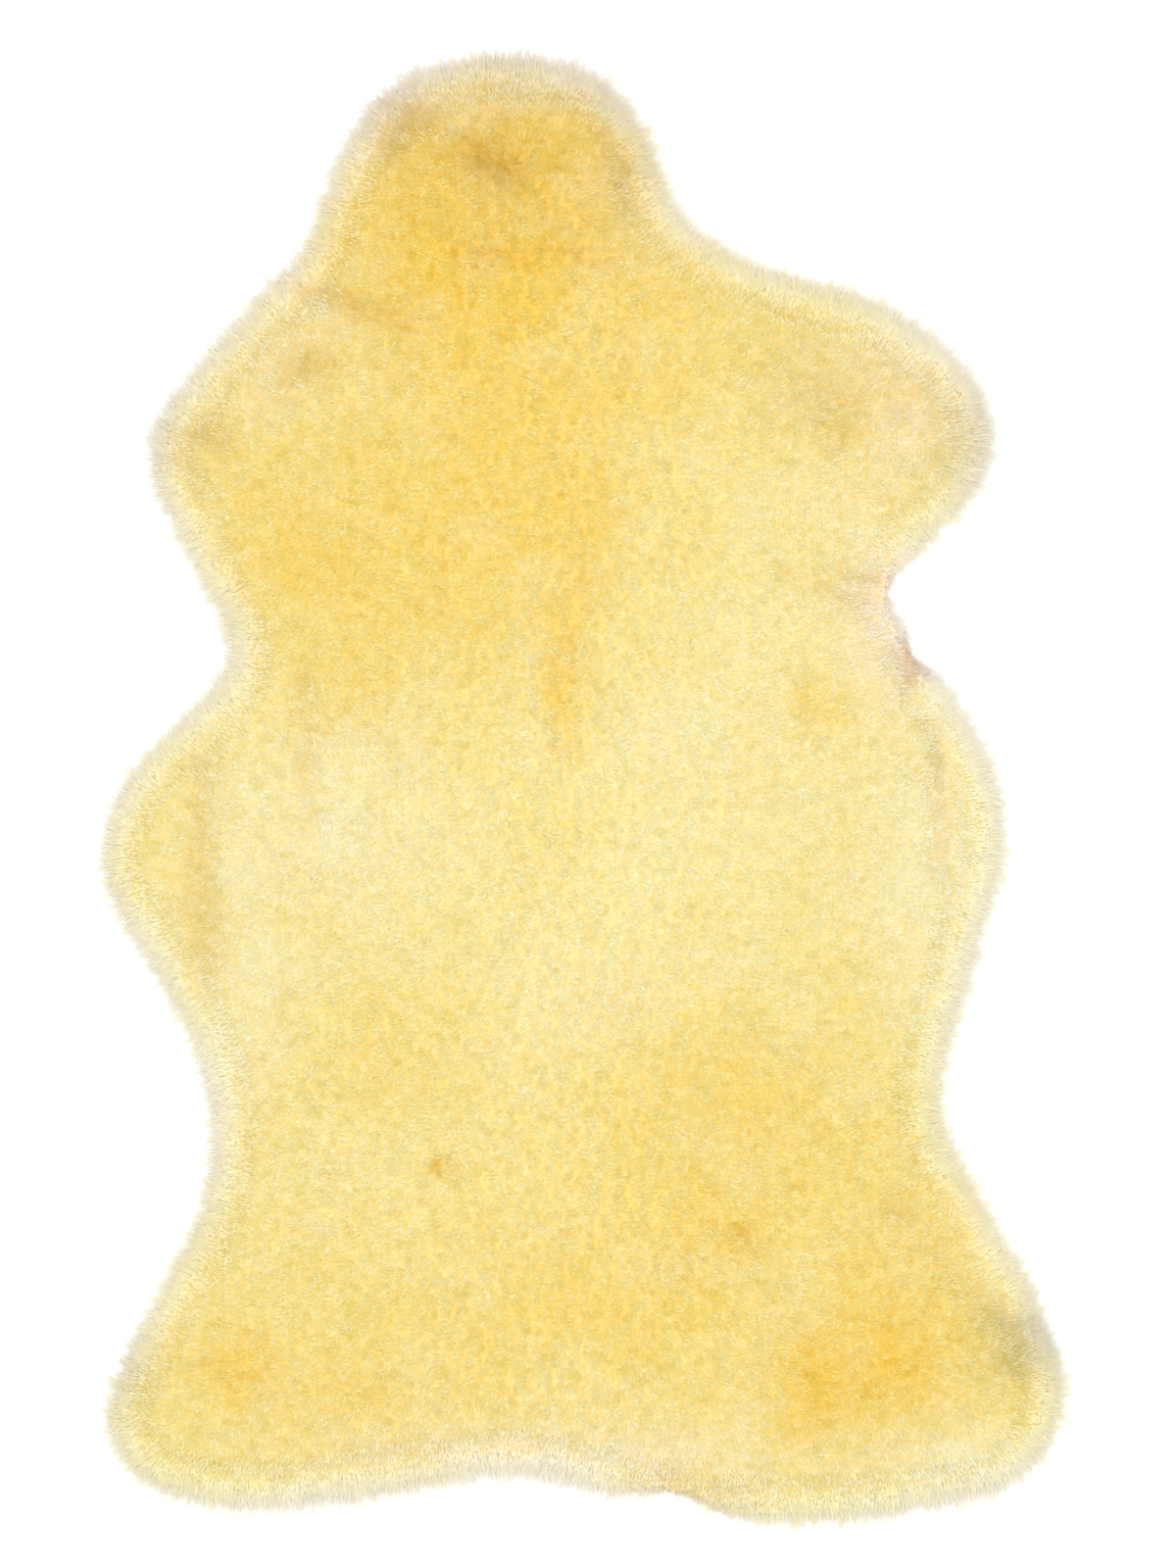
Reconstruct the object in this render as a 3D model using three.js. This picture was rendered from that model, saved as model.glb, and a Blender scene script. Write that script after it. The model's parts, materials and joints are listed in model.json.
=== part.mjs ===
// A medical sheepskin lying flat, wool side up: one tanned hide and the shorn fleece that grows on it.
// Millimetres, +Z up. The origin is on the hide's underside, in the middle of the skin's box.
// +Y points to the head.
import * as THREE from "three";

// Driving dimensions
const HIDE_THICKNESS = 2;
const PILE_HEIGHT = 30; // the shorn wool above the hide
const WOOL_OVERHANG = 14; // how far the rim's wool reaches past the hide's cut edge
const BARE_OVERHANG = 3; // the same where the cut edge shows
const RIM_SHARE = 0.5; // the pile's height at the cut edge, as a share of PILE_HEIGHT
const SHOULDER_WIDTH = 42; // from the cut edge to where the pile stands at its full height

// Locks of wool round the rim: each is a four-sided wedge that leaves the rim, droops and ends in a point.
const LOCK_COUNT = 200;
const LOCK_SPREAD = 4; // how much the tips differ in reach
const LOCK_SWAY = 5; // how far a tip leans to one side
const LOCK_WAIST_AT = 0.62; // where a lock is measured between its root and its tip
const LOCK_WAIST_WIDTH = 0.84; // its width there, as a share of the root's
const LOCK_WAIST_LOW = 3;
const LOCK_WAIST_HIGH = 13;
const LOCK_TIP_LOW = 4;
const LOCK_TIP_HIGH = 8;

// The wool's outline, anticlockwise from the head, each mark to the right of the middle and forward of it.
const OUTLINE = [
  { mark: "crown", across: -43, along: 473 },
  { mark: "left poll", across: -84, along: 470 },
  { mark: "left ear", across: -124, along: 454 },
  { mark: "left cheek", across: -144, along: 431 },
  { mark: "left throat", across: -165, along: 391 },
  { mark: "left neck", across: -177, along: 351 },
  { mark: "left shoulder", across: -212, along: 314 },
  { mark: "left foreleg top", across: -254, along: 266 },
  { mark: "left foreleg tip", across: -282, along: 219 },
  { mark: "left foreleg under", across: -250, along: 142 },
  { mark: "left elbow", across: -227, along: 85 },
  { mark: "left flank front", across: -256, along: 47 },
  { mark: "left flank top", across: -298, along: 3 },
  { mark: "left flank", across: -310, along: -55 },
  { mark: "left flank back", across: -286, along: -104 },
  { mark: "left loin", across: -251, along: -167 },
  { mark: "left waist", across: -239, along: -218 },
  { mark: "left thigh", across: -247, along: -273 },
  { mark: "left hind leg top", across: -278, along: -334 },
  { mark: "left hind leg tip", across: -308, along: -403 },
  { mark: "left heel", across: -290, along: -443 },
  { mark: "left hind leg inside", across: -227, along: -464 },
  { mark: "left rump", across: -125, along: -455 },
  { mark: "tail", across: -46, along: -442 },
  { mark: "tear left", across: 32, along: -457 },
  { mark: "tear", across: 58, along: -455 },
  { mark: "tear right", across: 88, along: -469 },
  { mark: "right rump", across: 137, along: -473 },
  { mark: "right hind leg inside", across: 216, along: -465 },
  { mark: "right heel", across: 286, along: -443 },
  { mark: "right hind leg tip", across: 311, along: -394 },
  { mark: "right hind leg top", across: 298, along: -339 },
  { mark: "right thigh", across: 257, along: -266 },
  { mark: "right waist", across: 229, along: -205 },
  { mark: "right loin", across: 238, along: -162 },
  { mark: "right flank back", across: 260, along: -86 },
  { mark: "right flank", across: 273, along: -23 },
  { mark: "right flank front", across: 249, along: 44 },
  { mark: "right elbow below", across: 215, along: 88 },
  { mark: "right elbow", across: 198, along: 126 },
  { mark: "right elbow above", across: 211, along: 151 },
  { mark: "right foreleg under", across: 246, along: 180 },
  { mark: "right foreleg tip", across: 266, along: 221 },
  { mark: "right foreleg top", across: 252, along: 266 },
  { mark: "right shoulder", across: 196, along: 311 },
  { mark: "right neck", across: 104, along: 341 },
  { mark: "right throat", across: 61, along: 373 },
  { mark: "right cheek", across: 40, along: 426 },
  { mark: "right poll", across: 6, along: 463 },
];

// Places on the rim where the wool is thin and the hide's cut edge shows.
const BARE_EDGES = [
  { place: "elbow", across: 198, along: 126, reach: 24 },
  { place: "below the elbow", across: 212, along: 88, reach: 22 },
  { place: "tail tear", across: 66, along: -458, reach: 34 },
];

// Partings: soft troughs in the pile between two points, with their depth and half width.
const PARTINGS = [
  { place: "left shoulder", from: [-196, 326], to: [-110, 300], depth: 6, halfWidth: 13 },
  { place: "across the poll", from: [-92, 430], to: [-44, 402], depth: 5, halfWidth: 14 },
  { place: "across the neck", from: [-70, 350], to: [26, 344], depth: 4, halfWidth: 15 },
  { place: "right elbow", from: [120, 138], to: [206, 128], depth: 7, halfWidth: 12 },
  { place: "left belly", from: [-182, 72], to: [-178, -32], depth: 5, halfWidth: 15 },
  { place: "right belly", from: [222, 46], to: [228, -62], depth: 5, halfWidth: 15 },
  { place: "left flank", from: [-246, 20], to: [-238, -118], depth: 4, halfWidth: 16 },
  { place: "right thigh", from: [190, -262], to: [262, -352], depth: 4, halfWidth: 18 },
];

// Lumps of the pile: humps and hollows in turn, laid along a heading, in degrees from +X, and across it.
const LUMPS = [
  { place: "broad rolls", length: 330, breadth: 260, heading: 24, phase: 0.9, height: 2.2 },
  { place: "matted tufts", length: 190, breadth: 128, heading: 68, phase: 2.3, height: 1.7 },
  { place: "tufts", length: 96, breadth: 84, heading: 131, phase: 4.4, height: 1.2 },
];

// The backbone: the line along the middle of the back where the rings of the top surface end.
const BACKBONE = { across: 0, tailEnd: -300, headEnd: 330, steps: 40 };
const RING_STEPS = [0, 0.03, 0.08, 0.15, 0.23, 0.32, 0.42, 0.52, 0.62, 0.72, 0.82, 0.91];

const FLEECE_COLOUR = 0xf4dc92;
const FLEECE_ROUGHNESS = 0.95;

// A number from -1 to 1 that differs from lock to lock and stays the same in every run.
function uneven(index, trait) {
  const wave = Math.sin(index * 12.9898 + trait * 78.233) * 43758.5453;
  return 2 * (wave - Math.floor(wave)) - 1;
}

function distanceToSegment(point, from, to) {
  const segment = to.clone().sub(from);
  const share = point.clone().sub(from).dot(segment) / segment.lengthSq();
  const foot = from.clone().addScaledVector(segment, THREE.MathUtils.clamp(share, 0, 1));
  return foot.distanceTo(point);
}

// How bare the rim is at a point, from 0, in full wool, to 1, where the cut edge shows.
function bareness(point) {
  const shares = BARE_EDGES.map(({ across, along, reach }) =>
    Math.exp(-(((point.x - across) ** 2 + (point.y - along) ** 2) / reach ** 2)),
  );
  return Math.max(...shares);
}

// Stations round the rim: the wool's reach, the way out of the skin, and the hide's cut edge.
function rimStations() {
  const marks = OUTLINE.map(({ across, along }) => new THREE.Vector3(across, along, 0));
  const curve = new THREE.CatmullRomCurve3(marks, true, "centripetal");
  return Array.from({ length: LOCK_COUNT }, (_, index) => {
    const share = index / LOCK_COUNT;
    const reach = curve.getPointAt(share);
    const tangent = curve.getTangentAt(share);
    const outward = new THREE.Vector2(tangent.y, -tangent.x).normalize();
    const wool = new THREE.Vector2(reach.x, reach.y);
    const overhang = THREE.MathUtils.lerp(WOOL_OVERHANG, BARE_OVERHANG, bareness(wool));
    return { wool, outward, overhang, edge: wool.clone().addScaledVector(outward, -overhang) };
  });
}

function lump(point) {
  return LUMPS.reduce((sum, { length, breadth, heading, phase, height }) => {
    const turn = THREE.MathUtils.degToRad(heading);
    const ahead = point.x * Math.cos(turn) + point.y * Math.sin(turn);
    const aside = point.y * Math.cos(turn) - point.x * Math.sin(turn);
    const roll = Math.sin((2 * Math.PI * ahead) / length + phase);
    const pitch = Math.cos((2 * Math.PI * aside) / breadth - phase);
    return sum + height * roll * pitch;
  }, 0);
}

function parting(point) {
  return PARTINGS.reduce((deepest, { from, to, depth, halfWidth }) => {
    const away = distanceToSegment(point, new THREE.Vector2(...from), new THREE.Vector2(...to));
    return Math.max(deepest, depth * Math.exp(-((away / halfWidth) ** 2)));
  }, 0);
}

// The height of the pile's top over a point inside the hide's cut edge.
function pileTop(point, edges) {
  const depth = edges.reduce(
    (least, edge, i) => Math.min(least, distanceToSegment(point, edge, edges[(i + 1) % edges.length])),
    Infinity,
  );
  const rise = Math.sin((Math.PI / 2) * Math.min(1, depth / SHOULDER_WIDTH));
  const stand = PILE_HEIGHT * (RIM_SHARE + (1 - RIM_SHARE) * rise);
  return HIDE_THICKNESS + stand + rise * (lump(point) - parting(point));
}

function backbonePlaces() {
  const { across, tailEnd, headEnd, steps } = BACKBONE;
  return Array.from(
    { length: steps + 1 },
    (_, step) => new THREE.Vector2(across, THREE.MathUtils.lerp(tailEnd, headEnd, step / steps)),
  );
}

// The step of the backbone that lies level with a place on the rim, or the end that is nearest to it.
function backboneStop(place) {
  const { tailEnd, headEnd, steps } = BACKBONE;
  const share = THREE.MathUtils.inverseLerp(tailEnd, headEnd, place.y);
  return Math.round(steps * THREE.MathUtils.clamp(share, 0, 1));
}

// Collects points and faces, which are listed anticlockwise as seen from outside.
class Shell {
  constructor() {
    this.points = [];
    this.faces = [];
  }

  point(place, height) {
    this.points.push(place.x, place.y, height);
    return this.points.length / 3 - 1;
  }

  ring(places, height) {
    return places.map((place) => this.point(place, height(place)));
  }

  quad(a, b, c, d) {
    this.faces.push(a, b, c, a, c, d);
  }

  // Joins two rings of the same length, the lower or outer one first.
  band(lower, upper) {
    lower.forEach((start, i) => {
      const next = (i + 1) % lower.length;
      this.quad(start, lower[next], upper[next], upper[i]);
    });
  }

  // Fills a ring with triangles that face down.
  floor(ring, places) {
    for (const [a, b, c] of THREE.ShapeUtils.triangulateShape(places, [])) {
      this.faces.push(ring[a], ring[c], ring[b]);
    }
  }

  // Joins a ring to a line inside it: stops gives, for each point of the ring, its place on the line.
  ridge(ring, line, stops) {
    ring.forEach((start, i) => {
      const next = (i + 1) % ring.length;
      const way = Math.sign(stops[next] - stops[i]);
      this.faces.push(start, ring[next], line[stops[i]]);
      for (let stop = stops[i]; stop !== stops[next]; stop += way) {
        this.faces.push(ring[next], line[stop + way], line[stop]);
      }
    });
  }

  // Joins a four-sided root, anticlockwise as seen from its far end, to a waist and a tip.
  wedge(root, waist, tip) {
    root.forEach((corner, i) => {
      const next = (i + 1) % root.length;
      this.quad(corner, root[next], waist[next], waist[i]);
      this.faces.push(waist[i], waist[next], tip);
    });
  }

  geometry() {
    const made = new THREE.BufferGeometry();
    made.setAttribute("position", new THREE.Float32BufferAttribute(this.points, 3));
    made.setIndex(this.faces);
    made.computeVertexNormals();
    return made;
  }
}

// One lock between two neighbouring stations of the rim.
function addLock(shell, index, here, next, root) {
  const middle = here.edge.clone().lerp(next.edge, 0.5);
  const outward = here.outward.clone().add(next.outward).normalize();
  const sideways = new THREE.Vector2(-outward.y, outward.x);
  const overhang = (here.overhang + next.overhang) / 2;
  const fullness = overhang / WOOL_OVERHANG;
  const reach = overhang + fullness * LOCK_SPREAD * uneven(index, 1);
  const lean = fullness * LOCK_SWAY * uneven(index, 2);
  const along = (share) =>
    middle.clone().addScaledVector(outward, reach * share).addScaledVector(sideways, lean * share ** 2);

  const halfWidth = (LOCK_WAIST_WIDTH * here.edge.distanceTo(next.edge)) / 2;
  const waistCentre = along(LOCK_WAIST_AT);
  const start = waistCentre.clone().addScaledVector(sideways, -halfWidth);
  const end = waistCentre.clone().addScaledVector(sideways, halfWidth);
  const waist = [
    shell.point(start, LOCK_WAIST_LOW),
    shell.point(end, LOCK_WAIST_LOW),
    shell.point(end, LOCK_WAIST_HIGH),
    shell.point(start, LOCK_WAIST_HIGH),
  ];
  const tipShare = (uneven(index, 3) + 1) / 2;
  const tip = shell.point(along(1), THREE.MathUtils.lerp(LOCK_TIP_LOW, LOCK_TIP_HIGH, tipShare));
  shell.wedge(root, waist, tip);
}

function sheepskinGeometry() {
  const stations = rimStations();
  const edges = stations.map(({ edge }) => edge);
  const shell = new Shell();

  // The hide: a flat underside and its cut edge
  const underside = shell.ring(edges, () => 0);
  const hideTop = shell.ring(edges, () => HIDE_THICKNESS);
  shell.floor(underside, edges);
  shell.band(underside, hideTop);

  // The pile's top, ring by ring from the rim to the backbone
  const backbone = backbonePlaces();
  const stops = edges.map(backboneStop);
  const height = (place) => pileTop(place, edges);
  const rings = RING_STEPS.map((step) =>
    shell.ring(
      edges.map((edge, i) => edge.clone().lerp(backbone[stops[i]], step)),
      height,
    ),
  );
  rings.slice(1).forEach((ring, i) => shell.band(rings[i], ring));
  shell.ridge(rings.at(-1), shell.ring(backbone, height), stops);

  // The rim's locks, between the hide's edge and the first ring of the pile
  stations.forEach((here, i) => {
    const j = (i + 1) % stations.length;
    addLock(shell, i, here, stations[j], [hideTop[i], hideTop[j], rings[0][j], rings[0][i]]);
  });
  return shell.geometry();
}

// Moves the skin so that the middle of its box lies over the origin. Its underside stays at height 0.
function centred(geometry) {
  geometry.computeBoundingBox();
  const middle = geometry.boundingBox.getCenter(new THREE.Vector3());
  return geometry.translate(-middle.x, -middle.y, 0);
}

const fleeceMaterial = new THREE.MeshStandardMaterial({
  color: FLEECE_COLOUR,
  roughness: FLEECE_ROUGHNESS,
  metalness: 0,
});

const sheepskin = new THREE.Mesh(centred(sheepskinGeometry()), fleeceMaterial);
sheepskin.name = "sheepskin";

const part = new THREE.Group();
part.add(sheepskin);

export default part;
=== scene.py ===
"""A medical sheepskin, laid wool side up: a tanned hide, its dense under-wool and the combed tips over it."""

import json
import logging
import math
from dataclasses import dataclass
from enum import Enum

import bmesh
import bpy
import numpy as np
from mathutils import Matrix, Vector
from mathutils.bvhtree import BVHTree
from mathutils.geometry import delaunay_2d_cdt

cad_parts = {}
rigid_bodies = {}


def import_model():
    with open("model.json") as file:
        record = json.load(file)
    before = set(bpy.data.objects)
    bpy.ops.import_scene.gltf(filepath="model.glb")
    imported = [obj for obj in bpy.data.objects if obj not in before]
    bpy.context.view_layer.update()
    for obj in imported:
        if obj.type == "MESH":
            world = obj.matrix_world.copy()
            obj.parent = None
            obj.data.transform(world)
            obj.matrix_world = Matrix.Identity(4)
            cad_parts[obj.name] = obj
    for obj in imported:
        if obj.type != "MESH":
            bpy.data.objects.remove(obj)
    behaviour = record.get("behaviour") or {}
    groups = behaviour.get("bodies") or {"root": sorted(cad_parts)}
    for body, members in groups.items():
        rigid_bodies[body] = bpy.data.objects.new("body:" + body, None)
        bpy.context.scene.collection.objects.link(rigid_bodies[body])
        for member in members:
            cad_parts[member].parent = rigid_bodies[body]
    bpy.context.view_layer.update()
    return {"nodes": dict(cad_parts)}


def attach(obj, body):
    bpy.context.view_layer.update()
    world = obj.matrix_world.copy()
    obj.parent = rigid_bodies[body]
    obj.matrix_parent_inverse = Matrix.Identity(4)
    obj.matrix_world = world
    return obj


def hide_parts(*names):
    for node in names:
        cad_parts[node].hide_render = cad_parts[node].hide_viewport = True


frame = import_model()

MM = 0.001
NODE = "sheepskin"
BODY = "root"
EVERY_BAND = -1
NO_WOOL = -2
# How brightly the studio lights the wool, in red, green and blue. A level of 1 shows a tone as it is.
LIGHT_LEVEL = np.array((1.195, 1.09, 1.125))
# The share of the light that leaves the fleece at the first fibre it meets, in red, green and blue.
LIGHT_OUT_SHARE = np.array((0.9, 0.9, 0.67))
# Triangles are kept inside a loop only, and points nearer than this are one.
TRIANGLES_INSIDE = 1
WELD = 1e-7
LOG = logging.getLogger("sheepskin")

Values = np.ndarray


def linear(red: int, green: int, blue: int) -> tuple[float, float, float]:
    """Turns a colour as it looks on a screen into the light that it stands for.

    Args:
        red: The red share, from 0 to 255.
        green: The green share, from 0 to 255.
        blue: The blue share, from 0 to 255.

    Returns:
        The same colour in linear light, each share from 0 to 1.
    """
    shares = (np.array([red, green, blue]) / 255.0 + 0.055) / 1.055
    return tuple(float(share) for share in shares**2.4)


class Tone(Enum):
    """The colours that the tanned wool shows, from bleached tips to smudges, and the grey and olive that are
    painted shade under the rim's fibres.
    """

    LEMON = linear(248, 231, 162)
    PALE = linear(250, 236, 178)
    CREAM = linear(251, 240, 204)
    PINK = linear(247, 228, 188)
    GOLD = linear(248, 217, 110)
    DEEP_GOLD = linear(246, 206, 74)
    HONEY = linear(234, 197, 90)
    ORANGE = linear(246, 207, 78)
    TAN = linear(232, 200, 116)
    BROWN = linear(190, 146, 70)
    # The next two tones are painted shade, for the darker band under the rim's fibres.
    GREY = linear(206, 184, 138)
    OLIVE = linear(190, 172, 102)
    RIM = linear(253, 237, 220)
    SKIN = linear(216, 188, 162)


@dataclass(frozen=True)
class Patch:
    """A soft-edged patch of one tone, in millimetres from the middle of the skin, turned in degrees."""

    across: float
    along: float
    breadth: float
    length: float
    turn: float
    tone: Tone
    strength: float

    def share(self, across: Values, along: Values) -> Values:
        """Works out how much of the patch's tone shows at each place.

        Args:
            across: The places' distances to the right of the middle, in millimetres.
            along: Their distances towards the head, in millimetres.

        Returns:
            The tone's share at each place, from 0 to the patch's strength.
        """
        turn = math.radians(self.turn)
        right, ahead = across - self.across, along - self.along
        side = (right * math.cos(turn) + ahead * math.sin(turn)) / self.breadth
        front = (ahead * math.cos(turn) - right * math.sin(turn)) / self.length
        return self.strength * np.exp(-(side**2 + front**2))


PATCHES = (
    # Head and neck
    Patch(-62, 344, 92, 78, 0, Tone.DEEP_GOLD, 1.00),
    Patch(-55, 405, 80, 52, 0, Tone.HONEY, 0.90),
    Patch(-167, 340, 22, 40, 0, Tone.GOLD, 0.85),
    Patch(-62, 410, 20, 14, -30, Tone.BROWN, 0.40),
    Patch(-50, 398, 14, 10, -20, Tone.BROWN, 0.45),
    Patch(-118, 438, 32, 17, 48, Tone.BROWN, 0.72),
    # Grey at the top of the head's rim: painted shade under the rim's fibres.
    Patch(1, 452, 34, 16, -36, Tone.GREY, 1.00),
    Patch(20, 387, 18, 28, 12, Tone.BROWN, 0.45),
    Patch(-45, 456, 62, 20, 0, Tone.PINK, 0.65),
    # Grey at the head's rim: painted shade under the rim's fibres.
    Patch(-45, 460, 62, 18, 0, Tone.GREY, 0.40),
    Patch(-80, 426, 16, 10, 30, Tone.PINK, 0.55),
    # A thin brown line along the crease below the head: painted shade in the crease.
    Patch(-33, 343, 52, 6, 0, Tone.BROWN, 0.25),
    # Shoulders and forelegs
    Patch(-37, 237, 130, 150, 0, Tone.GOLD, 0.85),
    Patch(-57, 146, 54, 62, 0, Tone.GOLD, 0.65),
    Patch(-198, 274, 42, 36, 42, Tone.PINK, 0.60),
    Patch(-168, 303, 24, 10, -20, Tone.CREAM, 0.50),
    Patch(-175, 268, 14, 12, 0, Tone.TAN, 0.95),
    Patch(-235, 221, 16, 14, 0, Tone.TAN, 1.00),
    # Grey at the rim of the foreleg: painted shade under the rim's fibres.
    Patch(-270, 218, 17, 32, 0, Tone.GREY, 0.55),
    Patch(203, 247, 44, 46, 0, Tone.PINK, 0.95),
    Patch(146, 259, 42, 34, -20, Tone.TAN, 0.48),
    Patch(158, 228, 14, 12, 0, Tone.TAN, 0.65),
    Patch(153, 192, 40, 24, 10, Tone.CREAM, 0.30),
    # Grey at the rim of the foreleg: painted shade under the rim's fibres.
    Patch(246, 224, 20, 34, 0, Tone.GREY, 0.60),
    Patch(-175, 155, 60, 72, 10, Tone.GOLD, 0.85),
    # Back and belly
    Patch(109, 117, 110, 80, 0, Tone.PALE, 0.75),
    Patch(77, 28, 64, 44, 0, Tone.CREAM, 0.72),
    Patch(-142, 54, 32, 26, 0, Tone.GOLD, 0.65),
    Patch(-5, 161, 24, 76, 0, Tone.DEEP_GOLD, 0.30),
    Patch(-13, 66, 11, 52, 0, Tone.ORANGE, 0.85),
    Patch(-180, 28, 12, 52, 0, Tone.GOLD, 0.40),
    Patch(-150, -28, 48, 54, 0, Tone.CREAM, 1.00),
    Patch(-212, -60, 28, 74, 0, Tone.CREAM, 0.75),
    Patch(-246, -54, 12, 74, 0, Tone.TAN, 0.35),
    Patch(-218, -156, 30, 60, 0, Tone.CREAM, 0.60),
    Patch(39, -47, 110, 84, 0, Tone.PALE, 0.85),
    Patch(10, -131, 54, 34, 0, Tone.CREAM, 0.60),
    Patch(222, -41, 46, 108, 0, Tone.CREAM, 0.85),
    Patch(146, 54, 18, 18, 0, Tone.GOLD, 0.65),
    Patch(190, 110, 24, 48, 10, Tone.RIM, 1.00),
    Patch(208, 85, 11, 15, -35, Tone.SKIN, 0.90),
    Patch(186, 133, 12, 3, 20, Tone.SKIN, 0.50),
    Patch(-43, -50, 6, 6, 0, Tone.TAN, 0.35),
    Patch(-11, -50, 5, 6, 0, Tone.TAN, 0.35),
    Patch(162, -58, 7, 6, 0, Tone.TAN, 0.35),
    # Loin and rump
    Patch(-112, -174, 72, 58, 0, Tone.GOLD, 0.25),
    Patch(102, -211, 96, 70, 0, Tone.GOLD, 0.60),
    Patch(85, -224, 60, 60, 0, Tone.GOLD, 0.30),
    Patch(14, -325, 215, 72, 0, Tone.GOLD, 0.65),
    Patch(-117, -274, 60, 42, 0, Tone.PALE, 0.40),
    Patch(203, -300, 40, 42, 0, Tone.GOLD, 0.80),
    Patch(190, -369, 56, 36, 10, Tone.ORANGE, 0.70),
    Patch(160, -386, 44, 28, 0, Tone.ORANGE, 0.70),
    Patch(-226, -375, 30, 28, 0, Tone.ORANGE, 0.65),
    Patch(-150, -388, 64, 28, 0, Tone.DEEP_GOLD, 0.28),
    Patch(-90, -242, 9, 8, 0, Tone.HONEY, 0.90),
    Patch(102, -290, 9, 8, 0, Tone.HONEY, 0.90),
    Patch(74, -301, 28, 5, 0, Tone.TAN, 0.40),
    Patch(198, -271, 15, 10, 0, Tone.BROWN, 0.06),
    # Olive and grey at the rims of the hind legs: painted shade under the rim's fibres.
    Patch(282, -356, 25, 24, 0, Tone.OLIVE, 0.82),
    Patch(-290, -366, 11, 32, 0, Tone.GREY, 0.60),
    Patch(235, -432, 40, 15, 0, Tone.CREAM, 1.00),
    Patch(-24, -428, 120, 20, 0, Tone.RIM, 0.65),
)


@dataclass(frozen=True)
class Whorl:
    """A place where the wool turns away from a centre on all sides, in millimetres."""

    across: float
    along: float
    reach: float
    strength: float


WHORLS = (
    Whorl(-168, 2, 62, 1.0),
    Whorl(-60, 405, 40, 0.9),
    Whorl(-196, 268, 44, 0.8),
    Whorl(196, -372, 60, 1.0),
    Whorl(150, 196, 48, 0.8),
)


@dataclass(frozen=True)
class Crease:
    """A soft trough where the wool parts, between two points, in millimetres from the middle of the skin,
    with brown shade painted along it.
    """

    start: tuple[float, float]
    end: tuple[float, float]
    half_width: float
    depth: float
    # The last field is how strongly brown shade is painted along the trough, darker where the wool parts.
    painted_shade: float

    def offset(self, across: Values, along: Values) -> tuple[Values, Values]:
        """Finds the way from the crease to each place.

        Args:
            across: The places' distances to the right of the middle, in millimetres.
            along: Their distances towards the head, in millimetres.

        Returns:
            The two parts of the way from the nearest point of the crease.
        """
        run = np.array(self.end) - np.array(self.start)
        right, ahead = across - self.start[0], along - self.start[1]
        share = np.clip((right * run[0] + ahead * run[1]) / float(run @ run), 0.0, 1.0)
        return right - share * run[0], ahead - share * run[1]


# Each crease's last number is the strength of the brown shade painted along it.
CREASES = (
    Crease((-194, 326), (-112, 300), 7, 3.0, 0.28),
    Crease((-84, 346), (14, 343), 6, 2.5, 0.15),
    Crease((-76, 412), (-48, 404), 6, 2.5, 0.15),
    Crease((126, 139), (190, 134), 5, 3.0, 0.10),
    Crease((150, 128), (182, 122), 4, 2.5, 0.10),
    Crease((-181, 72), (-178, -20), 8, 2.5, 0.12),
    Crease((225, 41), (228, -54), 7, 3.0, 0.15),
    Crease((-246, 14), (-244, -122), 8, 2.0, 0.10),
    Crease((196, -262), (256, -338), 8, 2.5, 0.10),
)


@dataclass(frozen=True)
class BareEdge:
    """A place on the rim where the wool is thin and the hide's cut edge shows, in millimetres."""

    across: float
    along: float
    reach: float


BARE_EDGES = (
    BareEdge(196, 124, 22),
    BareEdge(212, 90, 18),
    BareEdge(64, -454, 34),
)


class Unevenness:
    """Smooth chance values over the skin, the same in every run."""

    CELLS = 64

    def __init__(self, seed: int) -> None:
        """Draws the values that the smooth ones run through."""
        self.values = np.random.default_rng(seed).random((self.CELLS, self.CELLS)) * 2.0 - 1.0

    def at(self, across: Values, along: Values, breadth: float, length: float) -> Values:
        """Reads the smooth value at each place.

        Args:
            across: The places' distances to the right of the middle, in millimetres.
            along: Their distances towards the head, in millimetres.
            breadth: The values' grain across the skin, in millimetres.
            length: Their grain along it.

        Returns:
            A value from -1 to 1 for each place.
        """
        column, row = across / breadth, along / length
        left, low = np.floor(column).astype(int), np.floor(row).astype(int)
        right_share, high_share = column - left, row - low
        right_share = right_share**2 * (3.0 - 2.0 * right_share)
        high_share = high_share**2 * (3.0 - 2.0 * high_share)

        def corner(step_right: int, step_up: int) -> Values:
            """Reads the drawn values at one corner of each place's cell."""
            return self.values[(left + step_right) % self.CELLS, (low + step_up) % self.CELLS]

        lower = corner(0, 0) * (1.0 - right_share) + corner(1, 0) * right_share
        upper = corner(0, 1) * (1.0 - right_share) + corner(1, 1) * right_share
        return lower * (1.0 - high_share) + upper * high_share


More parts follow.
